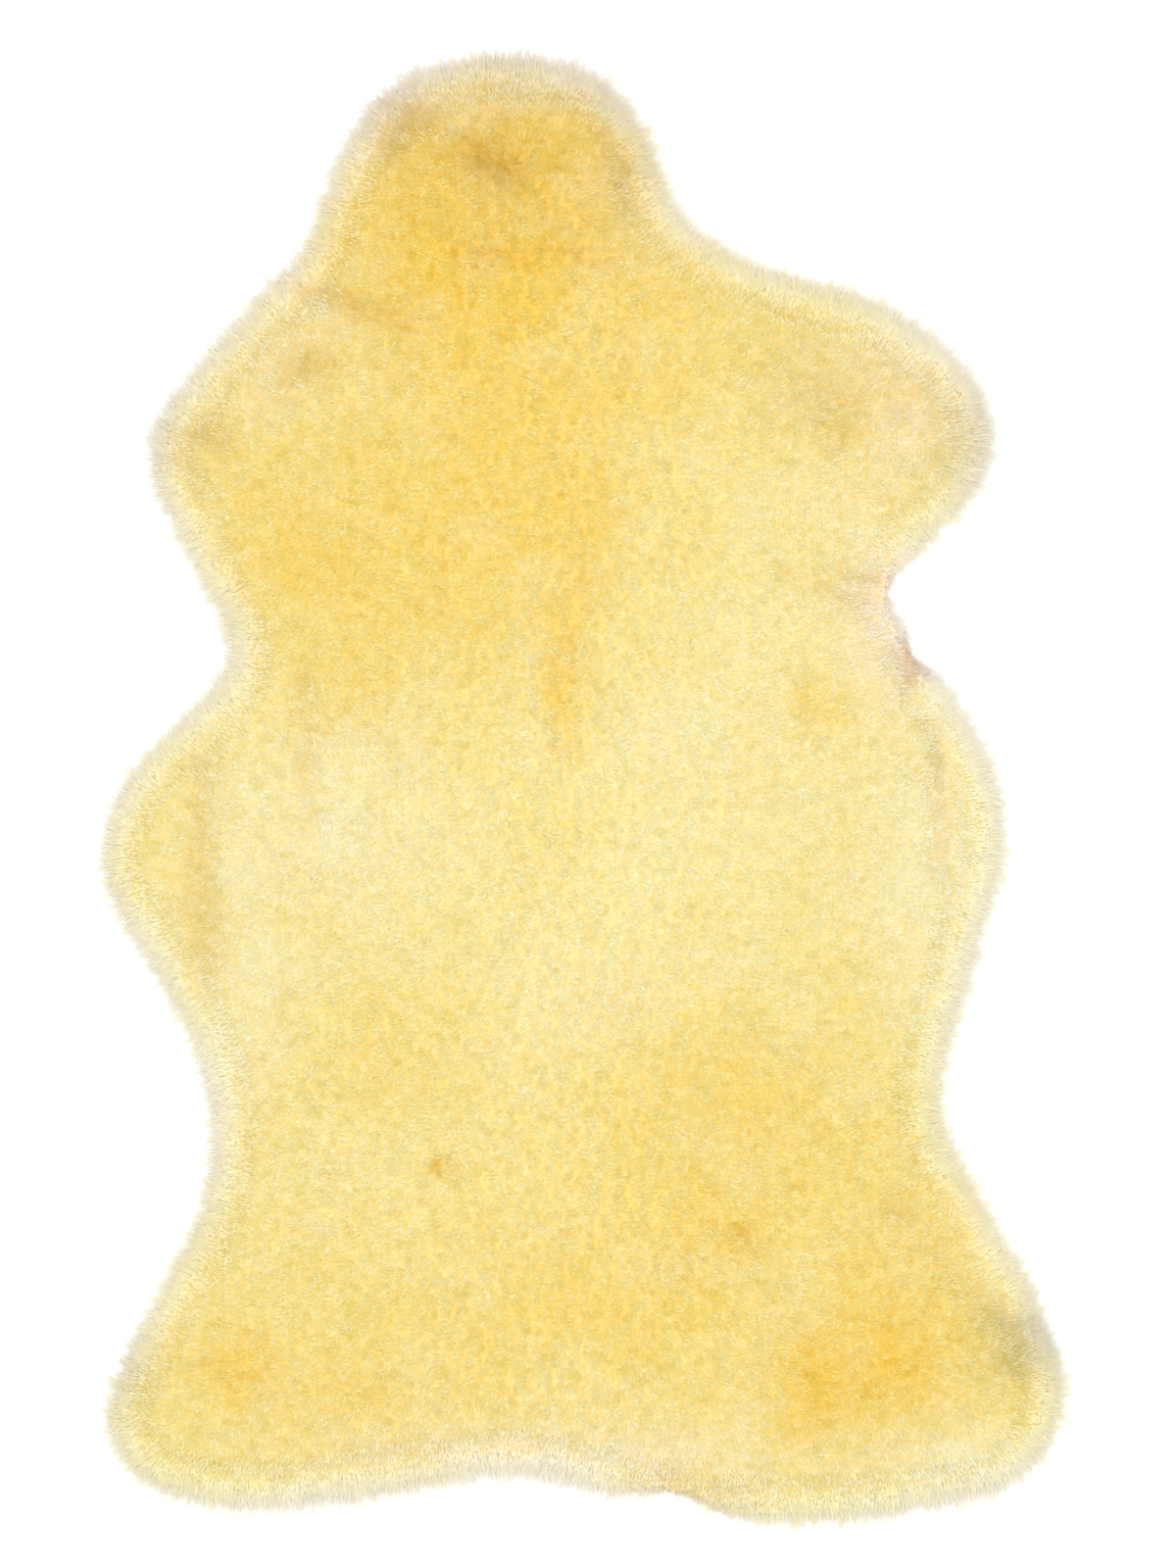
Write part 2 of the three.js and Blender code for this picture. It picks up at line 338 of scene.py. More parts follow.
class HideOutline:
    """The hide's cut edge, anticlockwise, read from the flat underside of the CAD solid."""

    STATION_GAP = 4.0 * MM
    ROUNDING_PASSES = 8
    LEVEL = 0.01 * MM
    POINTS_AT_ONCE = 2000

    def __init__(self, solid: bpy.types.Object) -> None:
        """Walks the underside's edge and rounds off its corners.

        Args:
            solid: The CAD node of the skin.
        """
        self.edge = self.rounded(self.walked(solid))
        ahead = np.roll(self.edge, -1, axis=0) - np.roll(self.edge, 1, axis=0)
        ahead /= np.linalg.norm(ahead, axis=1)[:, None]
        self.outward = np.column_stack((ahead[:, 1], -ahead[:, 0]))

    def walked(self, solid: bpy.types.Object) -> Values:
        """Follows the edge of the underside from corner to corner.

        Args:
            solid: The CAD node of the skin.

        Returns:
            The corners in order, anticlockwise as seen from above.
        """
        mesh = bmesh.new()
        mesh.from_mesh(solid.data)
        bmesh.ops.remove_doubles(mesh, verts=mesh.verts, dist=self.LEVEL)
        under = {face for face in mesh.faces if all(abs(v.co.z) < self.LEVEL for v in face.verts)}
        follows: dict[int, int] = {}
        places: dict[int, tuple[float, float]] = {}
        for face in under:
            for loop in face.loops:
                if any(other in under for other in loop.edge.link_faces if other != face):
                    continue
                # The underside faces down, so its loops run clockwise as seen from above.
                start, end = loop.link_loop_next.vert, loop.vert
                follows[start.index] = end.index
                places[start.index] = (start.co.x, start.co.y)
        mesh.free()
        first = min(follows)
        walk = [first]
        while follows[walk[-1]] != first:
            walk.append(follows[walk[-1]])
        return np.array([places[index] for index in walk])

    def rounded(self, corners: Values) -> Values:
        """Sets even stations along the edge and rounds them off.

        Args:
            corners: The edge's corners in order.

        Returns:
            The stations in the same order.
        """
        closed = np.vstack((corners, corners[:1]))
        run = np.concatenate(([0.0], np.cumsum(np.linalg.norm(np.diff(closed, axis=0), axis=1))))
        count = round(run[-1] / self.STATION_GAP)
        stops = np.arange(count) * run[-1] / count
        places = np.column_stack([np.interp(stops, run, closed[:, axis]) for axis in (0, 1)])
        for _ in range(self.ROUNDING_PASSES):
            places = (np.roll(places, 1, axis=0) + 2.0 * places + np.roll(places, -1, axis=0)) / 4.0
        return places

    def offset(self, reach: Values | float) -> Values:
        """Moves the edge outwards.

        Args:
            reach: How far each station goes, in metres.

        Returns:
            The moved stations.
        """
        return self.edge + self.outward * np.broadcast_to(reach, len(self.edge))[:, None]

    def area(self) -> float:
        """Gives the hide's flat area in square metres."""
        after = np.roll(self.edge, -1, axis=0)
        return float(np.sum(self.edge[:, 0] * after[:, 1] - after[:, 0] * self.edge[:, 1])) / 2.0

    def nearest(self, places: Values) -> tuple[Values, Values]:
        """Measures how deep inside the edge each place lies.

        Args:
            places: Points in the plane, in metres.

        Returns:
            The depth of each, below 0 outside the edge, and the way out at the edge nearest to it.
        """
        depths, ways = [], []
        for start in range(0, len(places), self.POINTS_AT_ONCE):
            some = places[start : start + self.POINTS_AT_ONCE]
            away = np.linalg.norm(some[:, None, :] - self.edge[None, :, :], axis=2)
            station = away.argmin(axis=1)
            way = self.outward[station]
            depths.append(np.sum((self.edge[station] - some) * way, axis=1))
            far = away[np.arange(len(some)), station]
            depths[-1] = np.where(depths[-1] < 0, depths[-1], far)
            ways.append(way)
        return np.concatenate(depths), np.vstack(ways)


def bareness(places: Values) -> Values:
    """Works out how bare the rim is.

    Args:
        places: Points in the plane, in metres.

    Returns:
        A share for each place, from 0, in full wool, to 1, where the cut edge shows.
    """
    across, along = places[:, 0] / MM, places[:, 1] / MM
    shares = [
        np.exp(-(((across - bare.across) ** 2 + (along - bare.along) ** 2) / bare.reach**2))
        for bare in BARE_EDGES
    ]
    return np.max(shares, axis=0)


def mesh_object(name: str, points: Values, faces: list[tuple[int, ...]]) -> bpy.types.Object:
    """Makes a smooth-shaded mesh object at the origin.

    Args:
        name: The piece's name.
        points: Its points, in metres.
        faces: Its faces, each a run of point numbers.

    Returns:
        The object, linked to the scene.
    """
    mesh = bpy.data.meshes.new(name)
    mesh.from_pydata(points.tolist(), [], faces)
    mesh.validate()
    mesh.shade_smooth()
    made = bpy.data.objects.new(name, mesh)
    bpy.context.scene.collection.objects.link(made)
    return made


def filled(loop: Values, inner: Values) -> tuple[Values, list[tuple[int, ...]]]:
    """Fills a loop with even triangles that face up.

    Args:
        loop: The loop's points in the plane, anticlockwise.
        inner: Points inside it that the triangles also use.

    Returns:
        All the points, the loop's first, and the triangles.
    """
    points = [Vector(place) for place in np.vstack((loop, inner))]
    ring = [(index, (index + 1) % len(loop)) for index in range(len(loop))]
    found = delaunay_2d_cdt(points, ring, [list(range(len(loop)))], TRIANGLES_INSIDE, WELD)
    places, faces = found[0], found[2]
    return np.array([place[:] for place in places]), [tuple(face) for face in faces]


class NodeSketch:
    """Adds nodes to a tree and joins them by their sockets' names."""

    def __init__(self, tree: bpy.types.NodeTree) -> None:
        """Keeps the tree that the nodes go into."""
        self.tree = tree

    def add(self, kind: str, inputs: dict[str, object] | None = None, **settings: object) -> bpy.types.Node:
        """Adds one node.

        Args:
            kind: The node's type.
            inputs: A value, or a socket to join, for each named input.
            settings: The node's own options.

        Returns:
            The new node.
        """
        node = self.tree.nodes.new(kind)
        for option, value in settings.items():
            setattr(node, option, value)
        for name, value in (inputs or {}).items():
            socket = self.socket(node.inputs, name)
            if isinstance(value, bpy.types.NodeSocket):
                self.tree.links.new(value, socket)
            else:
                socket.default_value = value
        return node

    @staticmethod
    def socket(sockets: bpy.types.bpy_prop_collection, name: str) -> bpy.types.NodeSocket:
        """Finds the socket of a name that is in use.

        Args:
            sockets: A node's inputs or outputs.
            name: The socket's name, or its name and place among those that share it, as in Value 1.

        Returns:
            The socket.
        """
        stem, _, place = name.rpartition(" ")
        if stem and place.isdigit():
            return [socket for socket in sockets if socket.enabled and socket.name == stem][int(place)]
        return next(socket for socket in sockets if socket.enabled and socket.name == name)

    def out(self, node: bpy.types.Node, name: str | None = None) -> bpy.types.NodeSocket:
        """Gives a node's output by name, or its first one in use."""
        if name is None:
            return next(socket for socket in node.outputs if socket.enabled)
        return self.socket(node.outputs, name)

    def math(self, operation: str, first: object, second: object = 0.0) -> bpy.types.NodeSocket:
        """Adds a sum of two values.

        Args:
            operation: The sum's kind.
            first: A value or a socket.
            second: A value or a socket.

        Returns:
            The result's socket.
        """
        node = self.add("ShaderNodeMath", {"Value 0": first, "Value 1": second}, operation=operation)
        return self.out(node)


@dataclass(frozen=True)
class WoolFinish:
    """The look of the wool: its tone from the skin, with painted shade that deepens it towards the fibres'
    roots between the locks, and paler tips that are partly bleached and partly painted light.
    """

    name: str
    depth_shade: tuple[float, float, float]
    tip_gain: float
    mottle: float
    roughness: float = 0.9
    sheen: float = 0.1
    bump: float = 0.0

    MOTTLE_SCALE = 160.0
    BUMP_SCALE = 420.0
    BUMP_DISTANCE = 1.5 * MM
    BUMP_DETAIL = 4.0
    SHEEN_ROUGHNESS = 0.5
    SHINE = 0.1
    ROOT_END = 0.15
    TIP_START = 0.9
    MOTTLE_DETAIL = 3.0
    STRETCH_SWING = 1.2
    MIDDLE = 0.5

    def material(self, shading: bpy.types.NodeTree) -> bpy.types.Material:
        """Builds the material.

        Args:
            shading: The node group that gives the wool's colour.

        Returns:
            The material.
        """
        made = bpy.data.materials.new(self.name)
        made.use_nodes = True
        sketch = NodeSketch(made.node_tree)
        shader = made.node_tree.nodes["Principled BSDF"]
        shader.inputs["Roughness"].default_value = self.roughness
        shader.inputs["Sheen Weight"].default_value = self.sheen
        shader.inputs["Sheen Roughness"].default_value = self.SHEEN_ROUGHNESS
        shader.inputs["Specular IOR Level"].default_value = self.SHINE
        place = sketch.add("ShaderNodeTexCoord")
        tone = sketch.add("ShaderNodeAttribute", attribute_name="tone")
        blade = sketch.add("ShaderNodeAttribute", attribute_name="blade")
        shade = sketch.add("ShaderNodeAttribute", attribute_name="shade")
        tip = sketch.add("ShaderNodeSeparateXYZ", {"Vector": sketch.out(blade, "Vector")})
        colour = sketch.add("ShaderNodeGroup", node_tree=shading)
        colour.inputs["Depth Tint"].default_value = (*self.depth_shade, 1.0)
        colour.inputs["Tip Gain"].default_value = self.tip_gain
        colour.inputs["Mottle"].default_value = self.mottle
        colour.inputs["Mottle Scale"].default_value = self.MOTTLE_SCALE
        links = made.node_tree.links
        links.new(sketch.out(place, "Object"), colour.inputs["Place"])
        links.new(sketch.out(tone, "Color"), colour.inputs["Tone"])
        links.new(sketch.out(tip, "Y"), colour.inputs["Tip"])
        links.new(sketch.out(shade, "Fac"), colour.inputs["Shade"])
        links.new(colour.outputs["Colour"], shader.inputs["Base Color"])
        if self.bump:
            grain = sketch.add(
                "ShaderNodeTexNoise",
                {
                    "Vector": sketch.out(place, "Object"),
                    "Scale": self.BUMP_SCALE,
                    "Detail": self.BUMP_DETAIL,
                },
            )
            bump = sketch.add(
                "ShaderNodeBump",
                {"Strength": self.bump, "Distance": self.BUMP_DISTANCE, "Height": sketch.out(grain, "Fac")},
            )
            links.new(sketch.out(bump, "Normal"), shader.inputs["Normal"])
        return made

    @classmethod
    def shading(cls) -> bpy.types.NodeTree:
        """Builds the node group that turns a tone into the wool's colour from root to tip.

        Returns:
            The node group.
        """
        tree = bpy.data.node_groups.new("wool_colour", "ShaderNodeTree")
        for name, kind in (
            ("Place", "NodeSocketVector"),
            ("Tone", "NodeSocketColor"),
            ("Tip", "NodeSocketFloat"),
            ("Shade", "NodeSocketFloat"),
            ("Depth Tint", "NodeSocketColor"),
            ("Tip Gain", "NodeSocketFloat"),
            ("Mottle", "NodeSocketFloat"),
            ("Mottle Scale", "NodeSocketFloat"),
        ):
            tree.interface.new_socket(name, in_out="INPUT", socket_type=kind)
        tree.interface.new_socket("Colour", in_out="OUTPUT", socket_type="NodeSocketColor")
        sketch = NodeSketch(tree)
        given = sketch.add("NodeGroupInput")
        # Deep between the locks the colour is darkened and turned yellower: painted shade, for the light that
        # takes on the wool's own yellow there.
        deep = sketch.add(
            "ShaderNodeMix",
            {"Factor": 1.0, "A": given.outputs["Tone"], "B": given.outputs["Depth Tint"]},
            data_type="RGBA",
            blend_type="MULTIPLY",
        )
        rising = sketch.add(
            "ShaderNodeMapRange",
            {"Value": given.outputs["Tip"], "From Min": cls.ROOT_END, "From Max": cls.TIP_START},
            interpolation_type="SMOOTHSTEP",
        )
        grown = sketch.add(
            "ShaderNodeMix",
            {"Factor": sketch.out(rising), "A": sketch.out(deep, "Result"), "B": given.outputs["Tone"]},
            data_type="RGBA",
        )
        # Each lock, and each small stretch of skin, is a little lighter or darker than its neighbours; the
        # locks in the furrows are darker still, which is painted shade.
        noise = sketch.add(
            "ShaderNodeTexNoise",
            {
                "Vector": given.outputs["Place"],
                "Scale": given.outputs["Mottle Scale"],
                "Detail": cls.MOTTLE_DETAIL,
            },
        )
        swing = sketch.math("SUBTRACT", sketch.out(noise, "Fac"), cls.MIDDLE)
        lock = sketch.math("SUBTRACT", given.outputs["Shade"], cls.MIDDLE)
        both = sketch.math("ADD", sketch.math("MULTIPLY", swing, cls.STRETCH_SWING), lock)
        change = sketch.math("MULTIPLY", both, given.outputs["Mottle"])
        # Tips are drawn paler, partly as bleached wool and partly as painted light on the tips.
        paler = sketch.math("MULTIPLY", sketch.out(rising), given.outputs["Tip Gain"])
        bright = sketch.add("ShaderNodeGamma", {"Color": sketch.out(grown, "Result")})
        power = sketch.math("SUBTRACT", 1.0, sketch.math("ADD", change, paler))
        tree.links.new(power, bright.inputs["Gamma"])
        given_out = sketch.add("NodeGroupOutput")
        tree.links.new(sketch.out(bright), given_out.inputs["Colour"])
        return tree


@dataclass(frozen=True)
class HideFinish:
    """The look of the tanned hide: pale suede with a fine nap and soft, warmer blotches."""

    name: str = "tanned_hide"
    pale: tuple[float, float, float] = linear(236, 218, 196)
    warm: tuple[float, float, float] = linear(214, 184, 160)
    roughness: float = 0.85
    sheen: float = 0.3
    blotch_scale: float = 9.0
    nap_scale: float = 900.0
    nap_height: float = 0.3 * MM
    nap_strength: float = 0.5
    nap_share: float = 0.3
    blotch_start: float = 0.45
    blotch_full: float = 0.95
    shine: float = 0.15

    BLOTCH_DETAIL = 5.0
    NAP_DETAIL = 4.0

    def material(self) -> bpy.types.Material:
        """Builds the material.

        Returns:
            The material.
        """
        made = bpy.data.materials.new(self.name)
        made.use_nodes = True
        sketch = NodeSketch(made.node_tree)
        shader = made.node_tree.nodes["Principled BSDF"]
        shader.inputs["Roughness"].default_value = self.roughness
        shader.inputs["Sheen Weight"].default_value = self.sheen
        shader.inputs["Specular IOR Level"].default_value = self.shine
        place = sketch.out(sketch.add("ShaderNodeTexCoord"), "Object")
        blotch = sketch.add(
            "ShaderNodeTexNoise",
            {"Vector": place, "Scale": self.blotch_scale, "Detail": self.BLOTCH_DETAIL},
        )
        nap = sketch.add(
            "ShaderNodeTexNoise",
            {"Vector": place, "Scale": self.nap_scale, "Detail": self.NAP_DETAIL},
        )
        fine = sketch.math("MULTIPLY", sketch.out(nap, "Fac"), self.nap_share)
        mixed = sketch.math("ADD", sketch.out(blotch, "Fac"), fine)
        spread = sketch.add(
            "ShaderNodeMapRange",
            {"Value": mixed, "From Min": self.blotch_start, "From Max": self.blotch_full},
        )
        colour = sketch.add(
            "ShaderNodeMix",
            {"Factor": sketch.out(spread), "A": (*self.pale, 1.0), "B": (*self.warm, 1.0)},
            data_type="RGBA",
        )
        bump = sketch.add(
            "ShaderNodeBump",
            {
                "Strength": self.nap_strength,
                "Distance": self.nap_height,
                "Height": sketch.out(nap, "Fac"),
            },
        )
        links = made.node_tree.links
        links.new(sketch.out(colour, "Result"), shader.inputs["Base Color"])
        links.new(sketch.out(bump, "Normal"), shader.inputs["Normal"])
        return made


@dataclass
class Hide:
    """The tanned hide under the wool: a thin flat sheet with the skin's outline."""

    outline: HideOutline
    finish: HideFinish
    thickness: float = 1.9 * MM
    grid: float = 12.0 * MM
    ragged: float = 1.2 * MM
    ragged_grain: float = 7.0

    def build(self) -> bpy.types.Object:
        """Builds the sheet and dresses it.

        Returns:
            The hide.
        """
        chance = Unevenness(seed=11)
        edge = self.outline.edge
        grain = self.ragged_grain
        tear = bareness(edge) * chance.at(edge[:, 0] / MM, edge[:, 1] / MM, grain, grain)
        loop = self.outline.offset(self.ragged * tear)
        inner = grid_inside(self.outline, self.grid, margin=self.grid / 2.0)
        places, faces = filled(loop, inner)
        count, rim = len(places), len(loop)
        lower = np.column_stack((places, np.zeros(count)))
        upper = np.column_stack((places, np.full(count, self.thickness)))
        sides = []
        for index in range(rim):
            after = (index + 1) % rim
            sides.append((index, after, count + after, count + index))
        under = [tuple(reversed(face)) for face in faces]
        over = [tuple(count + point for point in face) for face in faces]
        made = mesh_object("hide", np.vstack((lower, upper)), under + over + sides)
        made.data.materials.append(self.finish.material())
        return made

    def declare(self, made: bpy.types.Object) -> None:
        """Attaches the hide to the skin's body, hides the CAD node and works out the hide's flat area.

        Args:
            made: The hide.
        """
        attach(made, BODY)
        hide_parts(NODE)
        self.outline.area()


def grid_inside(outline: HideOutline, pitch: float, margin: float) -> Values:
    """Lays points in a close triangular grid inside the hide's edge.

    Args:
        outline: The hide's edge.
        pitch: The distance between neighbours, in metres.
        margin: How far inside the edge they stay. It may be below 0, to go past the edge.

    Returns:
        The points in the plane.
    """
    low, high = outline.edge.min(axis=0) + margin, outline.edge.max(axis=0) - margin
    rows = np.arange(low[1], high[1], pitch * math.sqrt(0.75))
    columns = np.arange(low[0], high[0], pitch)
    across, along = np.meshgrid(columns, rows)
    across[1::2] += pitch / 2.0
    every = np.column_stack((across.ravel(), along.ravel()))
    depth, _ = outline.nearest(every)
    return every[depth > margin]


@dataclass
class UnderWool:
    """The dense wool below the tips: a lumpy body on the hide that carries the wool's tone and lie."""

    outline: HideOutline
    solid: bpy.types.Object
    finish: WoolFinish
    shading: bpy.types.NodeTree
    grid: float = 4.2 * MM
    seat: float = 1.95 * MM
    bulge: float = 4.0 * MM
    bulge_height: float = 7.0 * MM
    rim_round: float = 15.0 * MM
    under_tips: float = 4.0 * MM
    clump_height: float = 0.4 * MM
    furrow_depth: float = 0.5 * MM
    bare_inset: float = 1.0 * MM
    foot_inset: float = 0.5 * MM
    thinnest: float = 1.0 * MM
    rim_clearance: float = 0.6
    bands: int = 5

    SMALL_CLUMP = (13.0, 11.0)
    LARGE_CLUMP = (27.0, 21.0)
    BACKBONE_LEFT = 8.0
    BACKBONE_BREADTH = 70.0
    SLOPE_SHARE = 0.25
    LENGTH_SPREAD = 0.06
    LENGTH_GRAIN = 9.0
    BARE_SHORTENING = 0.75
    BARE_SHORT_DEPTH = 4.0 * MM
    BARE_THINNING = 0.8
    BARE_THIN_DEPTH = 6.0 * MM
    MIDDLE_SHADE = 0.5

    def build(self) -> bpy.types.Object:
        """Builds the body, marks the lie of its wool and dresses it.

        Returns:
            The under-wool.
        """
        loop = self.outline.offset(self.rim_reach(self.outline.edge))
        inner = grid_inside(self.outline, self.grid, margin=-self.bulge)
        depth, _ = self.outline.nearest(inner)
        inner = inner[depth + self.rim_reach(inner) > self.rim_clearance * self.grid]
        places, faces = filled(loop, inner)
        count, rim = len(places), len(loop)
        top = np.column_stack((places, self.heights(places)))
        foot = np.column_stack((self.outline.offset(-self.foot_inset), np.full(rim, self.seat)))
        sides = []
        for index in range(rim):
            after = (index + 1) % rim
            sides.append((count + index, count + after, after, index))
        floor = [tuple(reversed(range(count, count + rim)))]
        made = mesh_object("under_wool", np.vstack((top, foot)), faces + sides + floor)
        self.mark(made)
        made.data.materials.append(self.finish.material(self.shading))
        return made

    def rim_reach(self, places: Values) -> Values:
        """Works out how far the body goes past the hide's edge.

        Args:
            places: Points in the plane, in metres.

        Returns:
            The reach at each place, in metres, below 0 where the cut edge shows.
        """
        bare = bareness(places)
        return self.bulge * (1.0 - bare) - self.bare_inset * bare

    def heights(self, places: Values) -> Values:
        """Finds the body's height over each place, a little under the solid's top.

        Args:
            places: Points in the plane, in metres.

        Returns:
            Their heights, in metres.
        """
        depth, _ = self.outline.nearest(places)
        depth = depth + self.bulge
        shape = bmesh.new()
        shape.from_mesh(self.solid.data)
        tree = BVHTree.FromBMesh(shape)
        shape.free()
        down = Vector((0.0, 0.0, -1.0))
        tops = []
        for across, along in places:
            hit = tree.ray_cast(Vector((across, along, 1.0)), down)[0]
            tops.append(1.0 if hit is None else hit.z)
        rise = np.clip(1.0 - depth / self.rim_round, 0.0, 1.0)
        rounded = self.bulge_height + self.rim_round * np.sqrt(1.0 - rise**2)
        height = np.minimum(np.array(tops) - self.under_tips, rounded)
        inside = np.clip(depth / self.rim_round, 0.0, 1.0)
        across, along = places[:, 0] / MM, places[:, 1] / MM
        small = Unevenness(seed=3).at(across, along, *self.SMALL_CLUMP)
        large = Unevenness(seed=4).at(across, along, *self.LARGE_CLUMP)
        height += inside * self.clump_height * (small + large)
        height -= inside * self.furrow_depth * furrows(across, along)
        for crease in CREASES:
            right, ahead = crease.offset(across, along)
            height -= inside * crease.depth * MM * np.exp(-((right**2 + ahead**2) / crease.half_width**2))
        return np.maximum(height, self.seat + self.thinnest)

    def mark(self, made: bpy.types.Object) -> None:
        """Stores the wool's tone, lie, length and fullness on the body's points, and its bands on the faces.

        Args:
            made: The under-wool.
        """
        mesh = made.data
        points = np.empty(len(mesh.vertices) * 3)
        mesh.vertices.foreach_get("co", points)
        points = points.reshape(-1, 3)
        depth, outward = self.outline.nearest(points[:, :2])
        bare = bareness(points[:, :2])
        tone = Toning().at(points, depth)
        self.store(mesh, "tone", "FLOAT_COLOR", np.column_stack((tone, np.ones(len(points)))))
        combing = Combing()
        self.store(mesh, "comb_right", "FLOAT_VECTOR", combing.at(points, depth, outward, side=1.0))
        self.store(mesh, "comb_left", "FLOAT_VECTOR", combing.at(points, depth, outward, side=-1.0))
        right_of_back = (points[:, 0] / MM + self.BACKBONE_LEFT) / self.BACKBONE_BREADTH
        self.store(mesh, "leftness", "FLOAT", 0.5 - 0.5 * np.tanh(right_of_back))
        normals = np.empty(len(points) * 3)
        mesh.vertices.foreach_get("normal", normals)
        facing = self.SLOPE_SHARE * normals.reshape(-1, 3) + np.array((0.0, 0.0, 1.0))
        self.store(mesh, "facing", "FLOAT_VECTOR", facing / np.linalg.norm(facing, axis=1)[:, None])
        across, along = points[:, 0] / MM, points[:, 1] / MM
        grain = Unevenness(seed=8).at(across, along, self.LENGTH_GRAIN, self.LENGTH_GRAIN)
        reach = 1.0 + self.LENGTH_SPREAD * grain
        reach = reach * np.where(depth < self.BARE_SHORT_DEPTH, 1.0 - self.BARE_SHORTENING * bare, 1.0)
        self.store(mesh, "reach", "FLOAT", reach)
        thin = bare * (depth < self.BARE_THIN_DEPTH)
        self.store(mesh, "cover", "FLOAT", 1.0 - self.BARE_THINNING * thin)
        self.store(mesh, "blade", "FLOAT_VECTOR", np.tile((0.0, 0.0, 0.0), (len(points), 1)))
        self.store(mesh, "shade", "FLOAT", np.full(len(points), self.MIDDLE_SHADE))
        self.store(mesh, "depth", "FLOAT", depth)
        centres = np.empty(len(mesh.polygons) * 3)
        mesh.polygons.foreach_get("center", centres)
        areas = np.empty(len(mesh.polygons))
        mesh.polygons.foreach_get("area", areas)
        # The last face lies on the hide and grows no wool.
        areas[-1] = 0.0
        along = centres.reshape(-1, 3)[:, 1]
        order = np.argsort(-along)
        shares = np.empty(len(along))
        shares[order] = np.cumsum(areas[order]) / areas.sum()
        band = np.minimum((shares * self.bands).astype(int), self.bands - 1)
        band[-1] = NO_WOOL
        mesh.attributes.new("band", "INT", "FACE").data.foreach_set("value", band.astype(np.int32))

    @staticmethod
    def store(mesh: bpy.types.Mesh, name: str, kind: str, values: Values) -> None:
        """Stores one value, vector or colour for each point of a mesh.

        Args:
            mesh: The mesh.
            name: The attribute's name.
            kind: Its kind.
            values: A row for each point.
        """
        field_name = {"FLOAT": "value", "FLOAT_VECTOR": "vector", "FLOAT_COLOR": "color"}[kind]
        made = mesh.attributes.new(name, kind, "POINT")
        made.data.foreach_set(field_name, np.ascontiguousarray(values, dtype=np.float32).ravel())


FURROW_BEND = 6.0
FURROW_BEND_GRAIN = 60.0
FURROW_BREADTH = 16.0
FURROW_LENGTH = 6.0
FURROW_START = 0.25
FURROW_RISE = 0.5


def furrows(across: Values, along: Values) -> Values:
    """Finds the short furrows between rows of locks, which run mostly across the back.

    Args:
        across: The places' distances to the right of the middle, in millimetres.
        along: Their distances towards the head, in millimetres.

    Returns:
        A share for each place, from 0, on a lock, to 1, in a furrow.
    """
    bend = FURROW_BEND * Unevenness(seed=21).at(across, along, FURROW_BEND_GRAIN, FURROW_BEND_GRAIN)
    fine = Unevenness(seed=22).at(across, along + bend, FURROW_BREADTH, FURROW_LENGTH)
    return np.clip((fine - FURROW_START) / FURROW_RISE, 0.0, 1.0)


@dataclass(frozen=True)
class Toning:
    """How the patches of tone blend over the skin, with uneven borders and a paler rim."""

    sway: float = 7.0
    sway_grain: float = 24.0
    drift: float = 4.0
    drift_grain: float = 9.0
    cloud: float = 0.22
    cloud_breadth: float = 34.0
    cloud_length: float = 28.0
    rim_share: float = 0.82
    rim_unevenness: float = 0.4
    rim_least: float = 0.3
    rim_grain: float = 50.0
    rim_past: float = 10.0 * MM
    rim_width: float = 14.0 * MM
    rim_falloff: float = 1.5
    skin_share: float = 0.6
    skin_width: float = 8.0 * MM
    gain: float = 0.17
    gain_depth: float = 4.0 * MM
    gain_width: float = 5.0 * MM
    gain_falloff: float = 1.4

    def at(self, points: Values, depth: Values) -> Values:
        """Blends the tones.

        Args:
            points: Points of the wool, in metres.
            depth: How deep inside the hide's edge each lies, in metres.

        Returns:
            A linear colour for each point.
        """
        across, along = points[:, 0] / MM, points[:, 1] / MM
        moved_across, moved_along = self.swayed(across, along), self.swayed(along, across)
        colour = np.tile(Tone.LEMON.value, (len(points), 1))

        def lay(tone: Tone, share: Values) -> None:
            """Lays a tone over what is there."""
            nonlocal colour
            colour = colour + (np.array(tone.value) - colour) * share[:, None]

        for patch in PATCHES:
            lay(patch.tone, patch.share(moved_across, moved_along))
        # Each crease is painted with brown shade along its trough, where the wool parts and the light falls
        # off.
        for crease in CREASES:
            right, ahead = crease.offset(across, along)
            lay(Tone.BROWN, crease.painted_shade * np.exp(-((right**2 + ahead**2) / crease.half_width**2)))
        cloud = Unevenness(seed=33).at(across, along, self.cloud_breadth, self.cloud_length)
        lay(Tone.GOLD, self.cloud * np.clip(cloud, 0.0, 1.0))
        lay(Tone.CREAM, self.cloud * np.clip(-cloud, 0.0, 1.0))
        uneven = self.rim_unevenness * Unevenness(seed=34).at(across, along, self.rim_grain, self.rim_grain)
        fade = np.clip(self.rim_share + uneven, self.rim_least, 1.0)
        in_rim = np.clip((depth + self.rim_past) / self.rim_width, 0.0, None)
        lay(Tone.RIM, fade * np.exp(-(in_rim**self.rim_falloff)))
        in_skin = np.clip(depth / self.skin_width, 0.0, None)
        lay(Tone.SKIN, self.skin_share * bareness(points[:, :2]) * np.exp(-in_skin))
        # Light goes from fibre to fibre before it comes out, so each fibre is paler than the fleece looks.
        # The low wool round the rim gets less light, and is paler to make up for it.
        returned = colour / LIGHT_LEVEL
        past_rim = np.clip((depth - self.gain_depth) / self.gain_width, 0.0, None)
        returned *= (1.0 + self.gain * np.exp(-(past_rim**self.gain_falloff)))[:, None]
        return returned / (LIGHT_OUT_SHARE + (1.0 - LIGHT_OUT_SHARE) * returned)

    def swayed(self, main: Values, other: Values) -> Values:
        """Moves places one way, so that the borders of the patches wander.

        Args:
            main: The places' distances along the way that they move, in millimetres.
            other: Their distances along the other way.

        Returns:
            The moved distances.
        """
        large = self.sway * Unevenness(seed=31).at(main, other, self.sway_grain, self.sway_grain)
        small = self.drift * Unevenness(seed=32).at(main, other, self.drift_grain, self.drift_grain)
        return main + large + small


